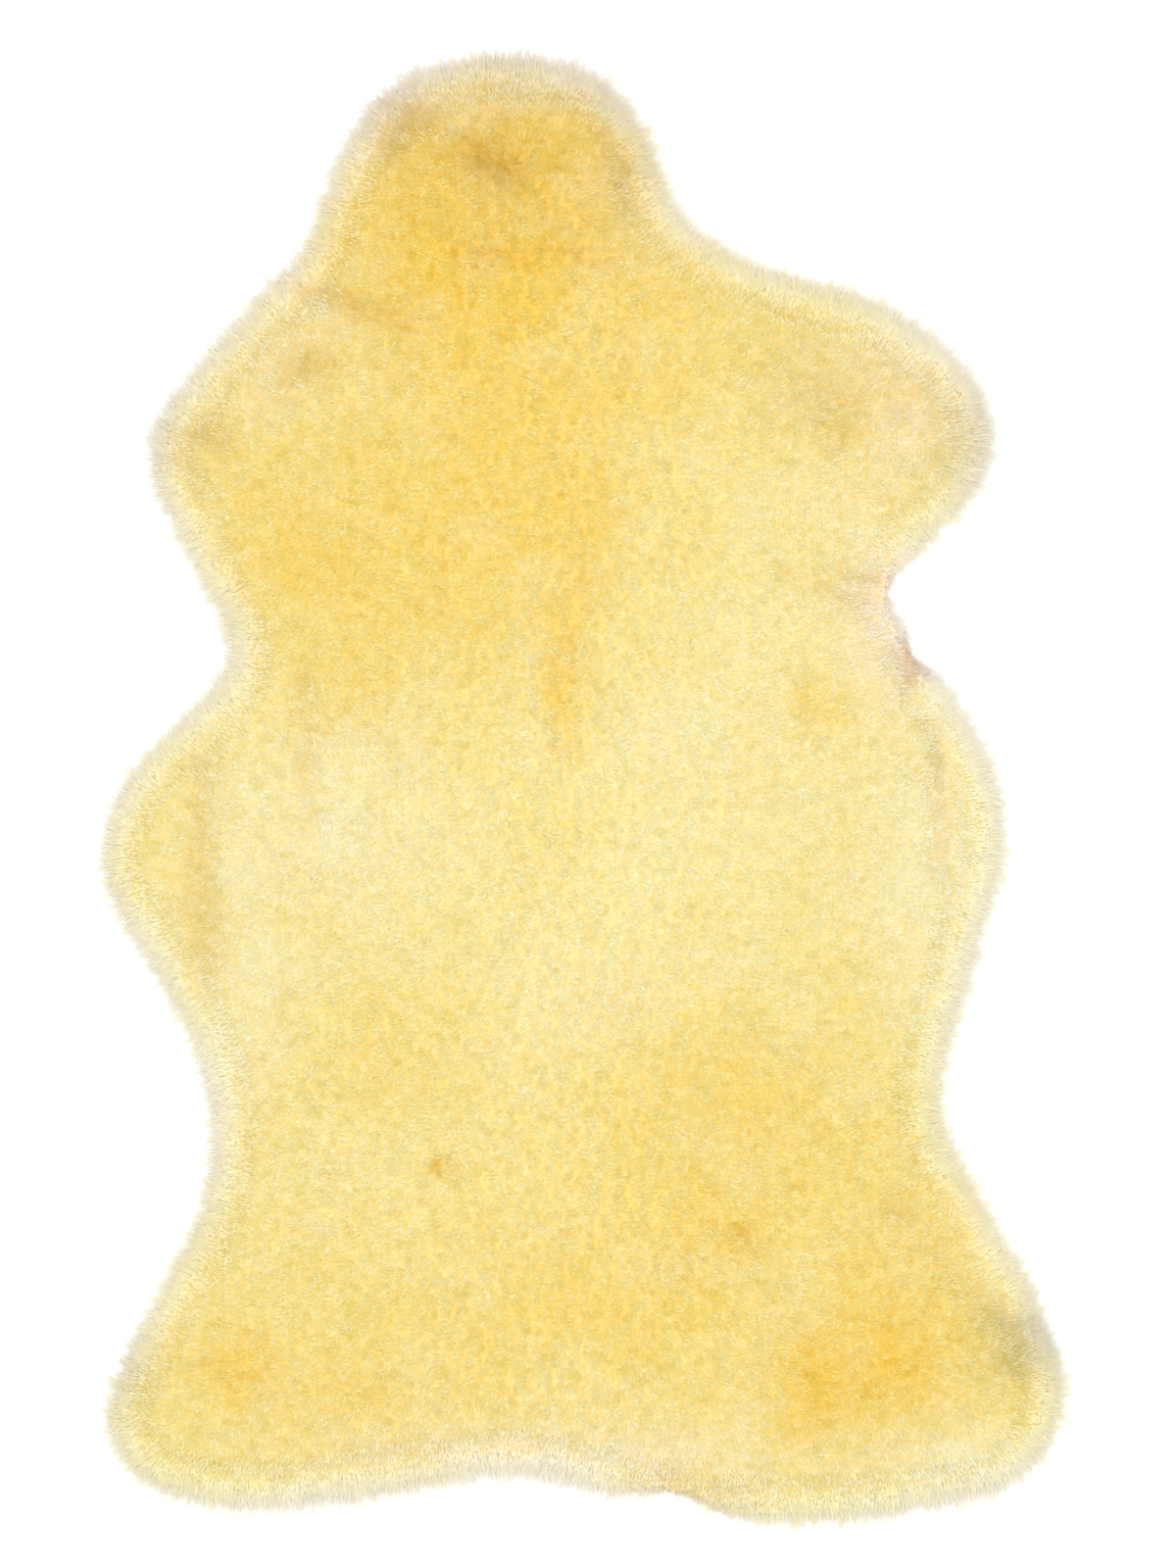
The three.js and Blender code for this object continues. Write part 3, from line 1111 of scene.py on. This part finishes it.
@dataclass(frozen=True)
class Combing:
    """How the wool lies: aside on the back, outwards at the rim, and away from whorls and partings."""

    turn: float = 78.0
    swing: float = 20.0
    swing_grain: float = 70.0
    waver: float = 18.0
    waver_grain: float = 22.0
    strength: float = 0.7
    clumping: float = 0.2
    clump_step: float = 2.0
    clump_grain: float = 15.0
    whorl_heart: float = 4.0
    whorl_calm: float = 14.0
    parting_heart: float = 0.5
    parting_pull: float = 1.2
    parting_reach: float = 2.0
    rim_depth: float = 38.0 * MM
    rim_pull: float = 1.6
    edge_depth: float = 14.0 * MM
    lean: float = 60.0
    edge_lean: float = 22.0
    droop: float = 0.05
    droop_past: float = 2.0 * MM

    SHORTEST = 1e-6

    def at(self, points: Values, depth: Values, outward: Values, side: float) -> Values:
        """Works out which way the wool grows.

        Args:
            points: Points of the wool, in metres.
            depth: How deep inside the hide's edge each lies, in metres.
            outward: The way out at the edge nearest to each.
            side: 1 for wool that falls to the right of the backbone, -1 for wool that falls to the left.

        Returns:
            A direction of length 1 for each point.
        """
        across, along = points[:, 0] / MM, points[:, 1] / MM
        swing = Unevenness(seed=41).at(across, along, self.swing_grain, self.swing_grain)
        waver = Unevenness(seed=42).at(across, along, self.waver_grain, self.waver_grain)
        turn = math.radians(self.turn) + math.radians(self.swing) * swing
        turn += math.radians(self.waver) * waver
        flat = np.column_stack((side * np.sin(turn), -np.cos(turn))) * self.strength
        flat += self.clumping * self.drawn(across, along)
        for whorl in WHORLS:
            right, ahead = across - whorl.across, along - whorl.along
            far = np.hypot(right, ahead) + self.whorl_heart
            pull = whorl.strength * far / (far + self.whorl_calm) * np.exp(-((far / whorl.reach) ** 2))
            flat += np.column_stack((right / far, ahead / far)) * pull[:, None]
        for crease in CREASES:
            right, ahead = crease.offset(across, along)
            far = np.hypot(right, ahead) + self.parting_heart
            pull = self.parting_pull * np.exp(-((far / (self.parting_reach * crease.half_width)) ** 2))
            flat += np.column_stack((right / far, ahead / far)) * pull[:, None]
        inside = np.clip(depth, 0.0, None)
        rim = np.exp(-inside / self.rim_depth)
        flat = flat * (1.0 - rim)[:, None] + self.rim_pull * outward * rim[:, None]
        flat /= np.maximum(np.linalg.norm(flat, axis=1), self.SHORTEST)[:, None]
        edge = np.exp(-((inside / self.edge_depth) ** 2))
        lean = np.radians(self.lean + self.edge_lean * edge)
        droop = np.where(depth < -self.droop_past, self.droop, 0.0)
        made = np.column_stack((flat * np.sin(lean)[:, None], np.cos(lean) - droop))
        return made / np.linalg.norm(made, axis=1)[:, None]

    def drawn(self, across: Values, along: Values) -> Values:
        """Finds the way in which tips draw together into small clumps.

        Args:
            across: The places' distances to the right of the middle, in millimetres.
            along: Their distances towards the head, in millimetres.

        Returns:
            A flat way for each place.
        """
        clumps, step, grain = Unevenness(seed=43), self.clump_step, self.clump_grain

        def change(right: float, ahead: float) -> Values:
            """Measures how the clumps rise from one side of each place to the other."""
            front = clumps.at(across + right, along + ahead, grain, grain)
            return front - clumps.at(across - right, along - ahead, grain, grain)

        return np.column_stack((change(step, 0.0), change(0.0, step)))


@dataclass(frozen=True)
class LockShape:
    """One kind of small wool lock: flat fibres that fan out from a root and curl over at their tips."""

    name: str
    fibres: int
    length: float
    width: float
    splay: float
    root_spread: float
    seed: int
    shortest: float = 0.75

    FOLD = 0.66
    LEAST_SPLAY = 0.3
    LONGEST = 1.1
    CURL_GAIN = 1.9
    CURL = 12.0
    WIDTHS = (0.8, 1.2)

    @staticmethod
    def leaning(away: Values, lean: float) -> Values:
        """Leans +Z over towards a heading, by an angle in radians."""
        return away * math.sin(lean) + np.array((0.0, 0.0, math.cos(lean)))

    def build(self) -> bpy.types.Object:
        """Builds the lock along +Z, with each fibre a kite that is folded at its widest place.

        Returns:
            The lock, linked to the scene.
        """
        chance = np.random.default_rng(self.seed)
        points, faces, blades = [], [], []
        for fibre in range(self.fibres):
            heading = 2.0 * math.pi * (fibre + chance.random()) / self.fibres
            away = np.array((math.cos(heading), math.sin(heading), 0.0))
            spin = chance.uniform(0.0, math.pi)
            aside = np.array((math.cos(spin), math.sin(spin), 0.0))
            root = away * self.root_spread * math.sqrt(chance.random())
            lean = math.radians(self.splay) * chance.uniform(self.LEAST_SPLAY, 1.0)
            length = self.length * chance.uniform(self.shortest, self.LONGEST)
            middle = root + length * self.FOLD * self.leaning(away, lean)
            curl = lean * self.CURL_GAIN + math.radians(self.CURL)
            tip = middle + length * (1.0 - self.FOLD) * self.leaning(away, curl)
            half = self.width / 2.0 * chance.uniform(*self.WIDTHS)
            start = len(points)
            points += [root, middle - aside * half, middle + aside * half, tip]
            faces += [(start, start + 2, start + 1), (start + 1, start + 2, start + 3)]
            blades += [(0.5, 0.0, 0.0), (0.0, self.FOLD, 0.0), (1.0, self.FOLD, 0.0), (0.5, 1.0, 0.0)]
        made = mesh_object(self.name, np.array(points), faces)
        UnderWool.store(made.data, "blade", "FLOAT_VECTOR", np.array(blades))
        return made


class WoolScatter:
    """The Geometry Nodes tree that sets locks of wool over a body, by the lie that the body carries."""

    CELL = 2.2 * MM
    LOWEST = 0.3 * MM
    ROW_GRAIN = (70.0, 230.0, 0.0)
    ROW_START = 0.51
    ROW_FULL = 0.65
    FIBRE_SHARE = 0.06
    PICKS = 1000
    MAP_MIDDLE = (0.5, 0.5, 0.0)

    def __init__(self) -> None:
        """Builds the tree."""
        self.tree = bpy.data.node_groups.new("wool_scatter", "GeometryNodeTree")
        self.inputs: dict[str, str] = {}
        for name, kind in (
            ("Body", "NodeSocketGeometry"),
            ("Band", "NodeSocketInt"),
            ("Deepest", "NodeSocketFloat"),
            ("Spacing", "NodeSocketFloat"),
            ("Density", "NodeSocketFloat"),
            ("Size", "NodeSocketFloat"),
            ("Size Spread", "NodeSocketFloat"),
            ("Row Depth", "NodeSocketFloat"),
            ("Row Shade", "NodeSocketFloat"),
            ("Seed", "NodeSocketInt"),
            ("Locks", "NodeSocketCollection"),
            ("Wool", "NodeSocketMaterial"),
        ):
            socket = self.tree.interface.new_socket(name, in_out="INPUT", socket_type=kind)
            self.inputs[name] = socket.identifier
        self.tree.interface.new_socket("Wool Locks", in_out="OUTPUT", socket_type="NodeSocketGeometry")
        self.draw()

    def draw(self) -> None:
        """Adds the tree's nodes and joins them."""
        sketch = NodeSketch(self.tree)
        given = sketch.add("NodeGroupInput").outputs

        def kept(name: str, kind: str) -> bpy.types.NodeSocket:
            """Reads an attribute that the body carries."""
            node = sketch.add("GeometryNodeInputNamedAttribute", {"Name": name}, data_type=kind)
            return sketch.out(node, "Attribute")

        def chance(kind: str, low: object, high: object, step: int) -> bpy.types.NodeSocket:
            """Draws a value for each lock."""
            seed = sketch.math("ADD", given["Seed"], float(step))
            node = sketch.add(
                "FunctionNodeRandomValue", {"Min": low, "Max": high, "Seed": seed}, data_type=kind
            )
            return sketch.out(node, "Value")

        in_band = sketch.add(
            "FunctionNodeCompare",
            {"A": kept("band", "INT"), "B": given["Band"]},
            data_type="INT",
            operation="EQUAL",
        )
        any_band = sketch.add(
            "FunctionNodeCompare", {"A": given["Band"], "B": 0}, data_type="INT", operation="LESS_THAN"
        )
        wool_grows = sketch.add(
            "FunctionNodeCompare",
            {"A": kept("band", "INT"), "B": NO_WOOL},
            data_type="INT",
            operation="NOT_EQUAL",
        )
        all_round = sketch.add(
            "FunctionNodeBooleanMath",
            {"Boolean 0": sketch.out(any_band), "Boolean 1": sketch.out(wool_grows)},
            operation="AND",
        )
        banded = sketch.add(
            "FunctionNodeBooleanMath",
            {"Boolean 0": sketch.out(in_band), "Boolean 1": sketch.out(all_round)},
            operation="OR",
        )
        shallow = sketch.add(
            "FunctionNodeCompare",
            {"A": kept("depth", "FLOAT"), "B": given["Deepest"]},
            data_type="FLOAT",
            operation="LESS_THAN",
        )
        chosen = sketch.add(
            "FunctionNodeBooleanMath",
            {"Boolean 0": sketch.out(banded), "Boolean 1": sketch.out(shallow)},
            operation="AND",
        )
        scattered = sketch.add(
            "GeometryNodeDistributePointsOnFaces",
            {
                "Mesh": given["Body"],
                "Selection": sketch.out(chosen),
                "Distance Min": given["Spacing"],
                "Density Max": given["Density"],
                "Density Factor": kept("cover", "FLOAT"),
                "Seed": given["Seed"],
            },
            distribute_method="POISSON",
        )
        # Each lock stands along the lie of the wool and turns about it by chance.
        falls_left = sketch.add(
            "FunctionNodeRandomValue",
            {"Probability": kept("leftness", "FLOAT"), "Seed": sketch.math("ADD", given["Seed"], 5.0)},
            data_type="BOOLEAN",
        )
        comb = sketch.add(
            "GeometryNodeSwitch",
            {
                "Switch": sketch.out(falls_left, "Value"),
                "False": kept("comb_right", "FLOAT_VECTOR"),
                "True": kept("comb_left", "FLOAT_VECTOR"),
            },
            input_type="VECTOR",
        )
        grown = sketch.add("FunctionNodeAlignRotationToVector", {"Vector": sketch.out(comb)}, axis="Z")
        spin = sketch.add(
            "FunctionNodeAxisAngleToRotation",
            {"Axis": (0, 0, 1), "Angle": chance("FLOAT", 0.0, 2.0 * math.pi, 1)},
        )
        turned = sketch.add(
            "FunctionNodeRotateRotation",
            {"Rotation": sketch.out(grown), "Rotate By": sketch.out(spin)},
            rotation_space="LOCAL",
        )
        # Rows of shorter locks leave short furrows that run across the skin, and the locks in them are
        # painted darker, as shade in the furrows.
        stretched = sketch.add(
            "ShaderNodeVectorMath",
            {"Vector 0": sketch.out(sketch.add("GeometryNodeInputPosition")), "Vector 1": self.ROW_GRAIN},
            operation="MULTIPLY",
        )
        rows = sketch.add(
            "ShaderNodeTexNoise", {"Vector": sketch.out(stretched), "Scale": 1.0, "Detail": 1.0}
        )
        low = sketch.out(
            sketch.add(
                "ShaderNodeMapRange",
                {"Value": sketch.out(rows, "Fac"), "From Min": self.ROW_START, "From Max": self.ROW_FULL},
                interpolation_type="SMOOTHSTEP",
            )
        )
        shorter = sketch.math("SUBTRACT", 1.0, sketch.math("MULTIPLY", low, given["Row Depth"]))
        size = sketch.math(
            "MULTIPLY",
            sketch.math("MULTIPLY", sketch.math("MULTIPLY", kept("reach", "FLOAT"), shorter), given["Size"]),
            sketch.math(
                "ADD", 1.0, sketch.math("MULTIPLY", chance("FLOAT", -1.0, 1.0, 2), given["Size Spread"])
            ),
        )
        scale = sketch.add("ShaderNodeCombineXYZ", {"X": 1.0, "Y": 1.0, "Z": size})
        place = sketch.add("GeometryNodeInputPosition")
        seated = sketch.add(
            "GeometryNodeStoreNamedAttribute",
            {"Geometry": sketch.out(scattered, "Points"), "Name": "seat", "Value": sketch.out(place)},
            data_type="FLOAT_VECTOR",
            domain="POINT",
        )
        # The locks in a furrow get a lower shade value, which paints shade on them.
        in_row = sketch.math("MULTIPLY", low, given["Row Shade"])
        darker = sketch.math("SUBTRACT", chance("FLOAT", 0.0, 1.0, 3), in_row)
        shaded = sketch.add(
            "GeometryNodeStoreNamedAttribute",
            {"Geometry": sketch.out(seated), "Name": "shade", "Value": darker},
            data_type="FLOAT",
            domain="POINT",
        )
        locks = sketch.add(
            "GeometryNodeCollectionInfo",
            {"Collection": given["Locks"], "Separate Children": True, "Reset Children": True},
        )
        planted = sketch.add(
            "GeometryNodeInstanceOnPoints",
            {
                "Points": sketch.out(shaded),
                "Instance": sketch.out(locks),
                "Pick Instance": True,
                "Instance Index": chance("INT", 0, self.PICKS, 4),
                "Rotation": sketch.out(turned),
                "Scale": sketch.out(scale),
            },
        )
        real = sketch.add("GeometryNodeRealizeInstances", {"Geometry": sketch.out(planted)})
        # The lowest locks of the rim lie on the floor.
        reached = sketch.out(sketch.add("GeometryNodeInputPosition"))
        spread = sketch.add("ShaderNodeSeparateXYZ", {"Vector": reached})
        lifted = sketch.add(
            "ShaderNodeCombineXYZ",
            {
                "X": sketch.out(spread, "X"),
                "Y": sketch.out(spread, "Y"),
                "Z": sketch.math("MAXIMUM", sketch.out(spread, "Z"), self.LOWEST),
            },
        )
        rested = sketch.add(
            "GeometryNodeSetPosition", {"Geometry": sketch.out(real), "Position": sketch.out(lifted)}
        )
        # A fibre is round and lets light through, so it takes the light much as the fleece around it does.
        facing = kept("facing", "FLOAT_VECTOR")
        own = sketch.out(sketch.add("GeometryNodeInputNormal"))
        along = sketch.add(
            "ShaderNodeVectorMath", {"Vector 0": own, "Vector 1": facing}, operation="DOT_PRODUCT"
        )
        away = sketch.add(
            "FunctionNodeCompare",
            {"A": sketch.out(along, "Value"), "B": 0.0},
            data_type="FLOAT",
            operation="LESS_THAN",
        )
        upright = sketch.add(
            "GeometryNodeFlipFaces", {"Mesh": sketch.out(rested), "Selection": sketch.out(away)}
        )
        blend = sketch.add(
            "ShaderNodeMix", {"Factor": self.FIBRE_SHARE, "A": facing, "B": own}, data_type="VECTOR"
        )
        soft = sketch.add(
            "ShaderNodeVectorMath", {"Vector 0": sketch.out(blend, "Result")}, operation="NORMALIZE"
        )
        softened = sketch.add(
            "GeometryNodeSetMeshNormal",
            {"Mesh": sketch.out(upright), "Custom Normal": sketch.out(soft)},
            mode="FREE",
            domain="CORNER",
        )
        # The map gives each lock a small cell of its own, set out as the locks stand on the skin.
        cell = sketch.add(
            "ShaderNodeVectorMath",
            {"Vector 0": kept("blade", "FLOAT_VECTOR"), "Scale": self.CELL},
            operation="SCALE",
        )
        spot = sketch.add(
            "ShaderNodeVectorMath",
            {"Vector 0": kept("seat", "FLOAT_VECTOR"), "Vector 1": sketch.out(cell)},
            operation="ADD",
        )
        centred = sketch.add(
            "ShaderNodeVectorMath",
            {"Vector 0": sketch.out(spot), "Vector 1": self.MAP_MIDDLE},
            operation="ADD",
        )
        mapped = sketch.add(
            "GeometryNodeStoreNamedAttribute",
            {"Geometry": sketch.out(softened), "Name": "OFBake", "Value": sketch.out(centred)},
            data_type="FLOAT2",
            domain="CORNER",
        )
        dressed = sketch.add(
            "GeometryNodeSetMaterial", {"Geometry": sketch.out(mapped), "Material": given["Wool"]}
        )
        end = sketch.add("NodeGroupOutput")
        self.tree.links.new(sketch.out(dressed), end.inputs["Wool Locks"])

    def grow(self, name: str, body: bpy.types.Object, **values: object) -> bpy.types.Object:
        """Sets locks over a body and turns them into one plain mesh.

        Args:
            name: The new piece's name.
            body: The body that the wool grows on.
            values: The tree's inputs, by their names with underscores for spaces.

        Returns:
            The wool.
        """
        modifier = body.modifiers.new("wool", "NODES")
        modifier.node_group = self.tree
        for words, value in values.items():
            modifier[self.inputs[words.replace("_", " ")]] = value
        seen = bpy.context.evaluated_depsgraph_get()
        mesh = bpy.data.meshes.new_from_object(
            body.evaluated_get(seen), preserve_all_data_layers=True, depsgraph=seen
        )
        body.modifiers.remove(modifier)
        mesh.name = name
        made = bpy.data.objects.new(name, mesh)
        bpy.context.scene.collection.objects.link(made)
        return made


class WoolPart(Enum):
    """The stretches of wool tips, from the head to the tail."""

    HEAD = "wool_head"
    SHOULDERS = "wool_shoulders"
    BACK = "wool_back"
    LOIN = "wool_loin"
    RUMP = "wool_rump"


@dataclass
class WoolTips:
    """The combed tips of the wool: small locks all over the body, and longer fine ones round the rim."""

    body: bpy.types.Object
    finish: WoolFinish
    rim_finish: WoolFinish
    shading: bpy.types.NodeTree
    spacing: float = 2.7 * MM
    density: float = 900_000.0
    rim_spacing: float = 1.7 * MM
    rim_depth: float = 7.0 * MM
    size_spread: float = 0.1
    row_depth: float = 0.15
    row_shade: float = 1.2
    seed: int = 5

    ANY_DEPTH = 1.0
    SEED_STEP = 10
    RIM_SEED_STEP = 100
    LOCKS = (
        LockShape("lock_even", 10, 6.6 * MM, 0.85 * MM, 20.0, 1.6 * MM, 1),
        LockShape("lock_open", 10, 7.0 * MM, 0.8 * MM, 26.0, 1.8 * MM, 2),
        LockShape("lock_tight", 10, 6.2 * MM, 0.9 * MM, 14.0, 1.5 * MM, 3),
        LockShape("lock_long", 10, 7.6 * MM, 0.8 * MM, 20.0, 1.7 * MM, 4),
    )
    RIM_LOCKS = (
        LockShape("rim_lock_even", 8, 15.0 * MM, 0.36 * MM, 12.0, 1.2 * MM, 6, shortest=0.4),
        LockShape("rim_lock_open", 8, 14.0 * MM, 0.36 * MM, 20.0, 1.4 * MM, 7, shortest=0.4),
        LockShape("rim_lock_long", 8, 19.0 * MM, 0.3 * MM, 12.0, 1.2 * MM, 8, shortest=0.4),
    )

    def build(self) -> list[bpy.types.Object]:
        """Grows the wool, part by part.

        Returns:
            The pieces of wool.
        """
        scatter = WoolScatter()
        material = self.finish.material(self.shading)
        rim_material = self.rim_finish.material(self.shading)
        made = []
        with LockBox("wool_locks", self.LOCKS) as locks:
            for band, part in enumerate(WoolPart):
                piece = scatter.grow(
                    part.value,
                    self.body,
                    Band=band,
                    Deepest=self.ANY_DEPTH,
                    Spacing=self.spacing,
                    Density=self.density,
                    Size=1.0,
                    Size_Spread=self.size_spread,
                    Row_Depth=self.row_depth,
                    Row_Shade=self.row_shade,
                    Seed=self.seed + self.SEED_STEP * band,
                    Locks=locks,
                    Wool=material,
                )
                made.append(piece)
        with LockBox("rim_locks", self.RIM_LOCKS) as locks:
            rim = scatter.grow(
                "wool_rim",
                self.body,
                Band=EVERY_BAND,
                Deepest=self.rim_depth,
                Spacing=self.rim_spacing,
                Density=self.density,
                Size=1.0,
                Size_Spread=2.0 * self.size_spread,
                Row_Depth=0.0,
                Row_Shade=0.0,
                Seed=self.seed + self.RIM_SEED_STEP,
                Locks=locks,
                Wool=rim_material,
            )
            made.append(rim)
        return made


class LockBox:
    """A short-lived collection of lock shapes, for the tree to pick from."""

    def __init__(self, name: str, shapes: tuple[LockShape, ...]) -> None:
        """Keeps the collection's name and the shapes that go into it."""
        self.name = name
        self.shapes = shapes

    def __enter__(self) -> bpy.types.Collection:
        """Makes the shapes in a collection of their own."""
        self.collection = bpy.data.collections.new(self.name)
        bpy.context.scene.collection.children.link(self.collection)
        for shape in self.shapes:
            made = shape.build()
            bpy.context.scene.collection.objects.unlink(made)
            self.collection.objects.link(made)
        return self.collection

    def __exit__(self, *_: object) -> None:
        """Removes the shapes and their collection."""
        for made in list(self.collection.objects):
            mesh = made.data
            bpy.data.objects.remove(made)
            bpy.data.meshes.remove(mesh)
        bpy.data.collections.remove(self.collection)


@dataclass
class Studio:
    """The plain pale floor, the lamp high overhead and the camera straight above the skin."""

    floor_side: float = 12.0
    floor_level: float = -0.2 * MM
    floor_tone: float = 0.95
    sky_strength: float = 0.3
    lamp_height: float = 5.0
    lamp_side: float = 1.6
    lamp_power: float = 260.0
    camera_height: float = 6.0
    aim: tuple[float, float] = (1.3 * MM, 3.2 * MM)
    aim_level: float = 25.0 * MM
    picture_rows: int = 1600
    row_height: float = 0.631 * MM
    film: float = 36.0

    def build(self) -> None:
        """Builds the floor, the light and the camera."""
        self.lay_floor()
        self.hang_lamp()
        self.set_camera()
        view = bpy.context.scene.view_settings
        view.view_transform = "Standard"
        view.look = "None"

    def lay_floor(self) -> None:
        """Lays the floor as part of the stage."""
        half = self.floor_side / 2.0
        corners = [(-half, -half), (half, -half), (half, half), (-half, half)]
        points = np.array([(*corner, self.floor_level) for corner in corners])
        floor = mesh_object("floor", points, [(0, 1, 2, 3)])
        paint = bpy.data.materials.new("floor_paint")
        paint.use_nodes = True
        shader = paint.node_tree.nodes["Principled BSDF"]
        shader.inputs["Base Color"].default_value = (self.floor_tone, self.floor_tone, self.floor_tone, 1.0)
        shader.inputs["Roughness"].default_value = 1.0
        shader.inputs["Specular IOR Level"].default_value = 0.0
        floor.data.materials.append(paint)

    def hang_lamp(self) -> None:
        """Sets the sky's weak, even light and hangs a lamp high over the skin."""
        sky = bpy.data.worlds.new("studio")
        sky.use_nodes = True
        light = sky.node_tree.nodes["Background"]
        light.inputs["Color"].default_value = (1.0, 1.0, 1.0, 1.0)
        light.inputs["Strength"].default_value = self.sky_strength
        bpy.context.scene.world = sky
        lamp = bpy.data.lights.new("softbox", "AREA")
        lamp.shape = "SQUARE"
        lamp.size = self.lamp_side
        lamp.energy = self.lamp_power
        hung = bpy.data.objects.new("softbox", lamp)
        hung.location = (0.0, 0.0, self.lamp_height)
        bpy.context.scene.collection.objects.link(hung)

    def set_camera(self) -> None:
        """Sets the camera over the skin, with the head at the top of the picture."""
        lens = bpy.data.cameras.new("camera")
        lens.sensor_width = self.film
        seen_length = self.picture_rows * self.row_height
        lens.lens = self.film * (self.camera_height - self.aim_level) / seen_length
        camera = bpy.data.objects.new("camera", lens)
        camera.location = (*self.aim, self.camera_height)
        bpy.context.scene.collection.objects.link(camera)
        bpy.context.scene.camera = camera


def main() -> None:
    """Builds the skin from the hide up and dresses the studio."""
    logging.basicConfig(level=logging.INFO, format="%(message)s")
    solid = frame["nodes"][NODE]
    outline = HideOutline(solid)
    shading = WoolFinish.shading()
    hide = Hide(outline, HideFinish())
    sheet = hide.build()
    # The under-wool shows only in the gaps between locks, so all of it is painted with the darker, yellower
    # shade of the roots.
    under = UnderWool(
        outline,
        solid,
        WoolFinish("under_wool", depth_shade=(0.98, 0.84, 0.6), tip_gain=0.0, mottle=0.3, bump=0.4),
        shading,
    )
    body = under.build()
    # Both finishes below paint darker, yellower shade towards the fibres' roots, and paler tips that are
    # partly painted light.
    tips = WoolTips(
        body,
        WoolFinish("wool_tips", depth_shade=(1.0, 0.885, 0.45), tip_gain=0.12, mottle=0.3),
        WoolFinish("wool_rim_tips", depth_shade=(0.98, 0.95, 0.85), tip_gain=0.1, mottle=0.2),
        shading,
    )
    wool = [body, *tips.build()]
    for piece in wool:
        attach(piece, BODY)
        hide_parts(NODE)
    hide.declare(sheet)
    for piece in [sheet, *wool]:
        triangles = sum(len(face.vertices) - 2 for face in piece.data.polygons)
        LOG.info("%s: %d triangles", piece.name, triangles)
    Studio().build()
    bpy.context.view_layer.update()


if __name__ == "__main__":
    main()
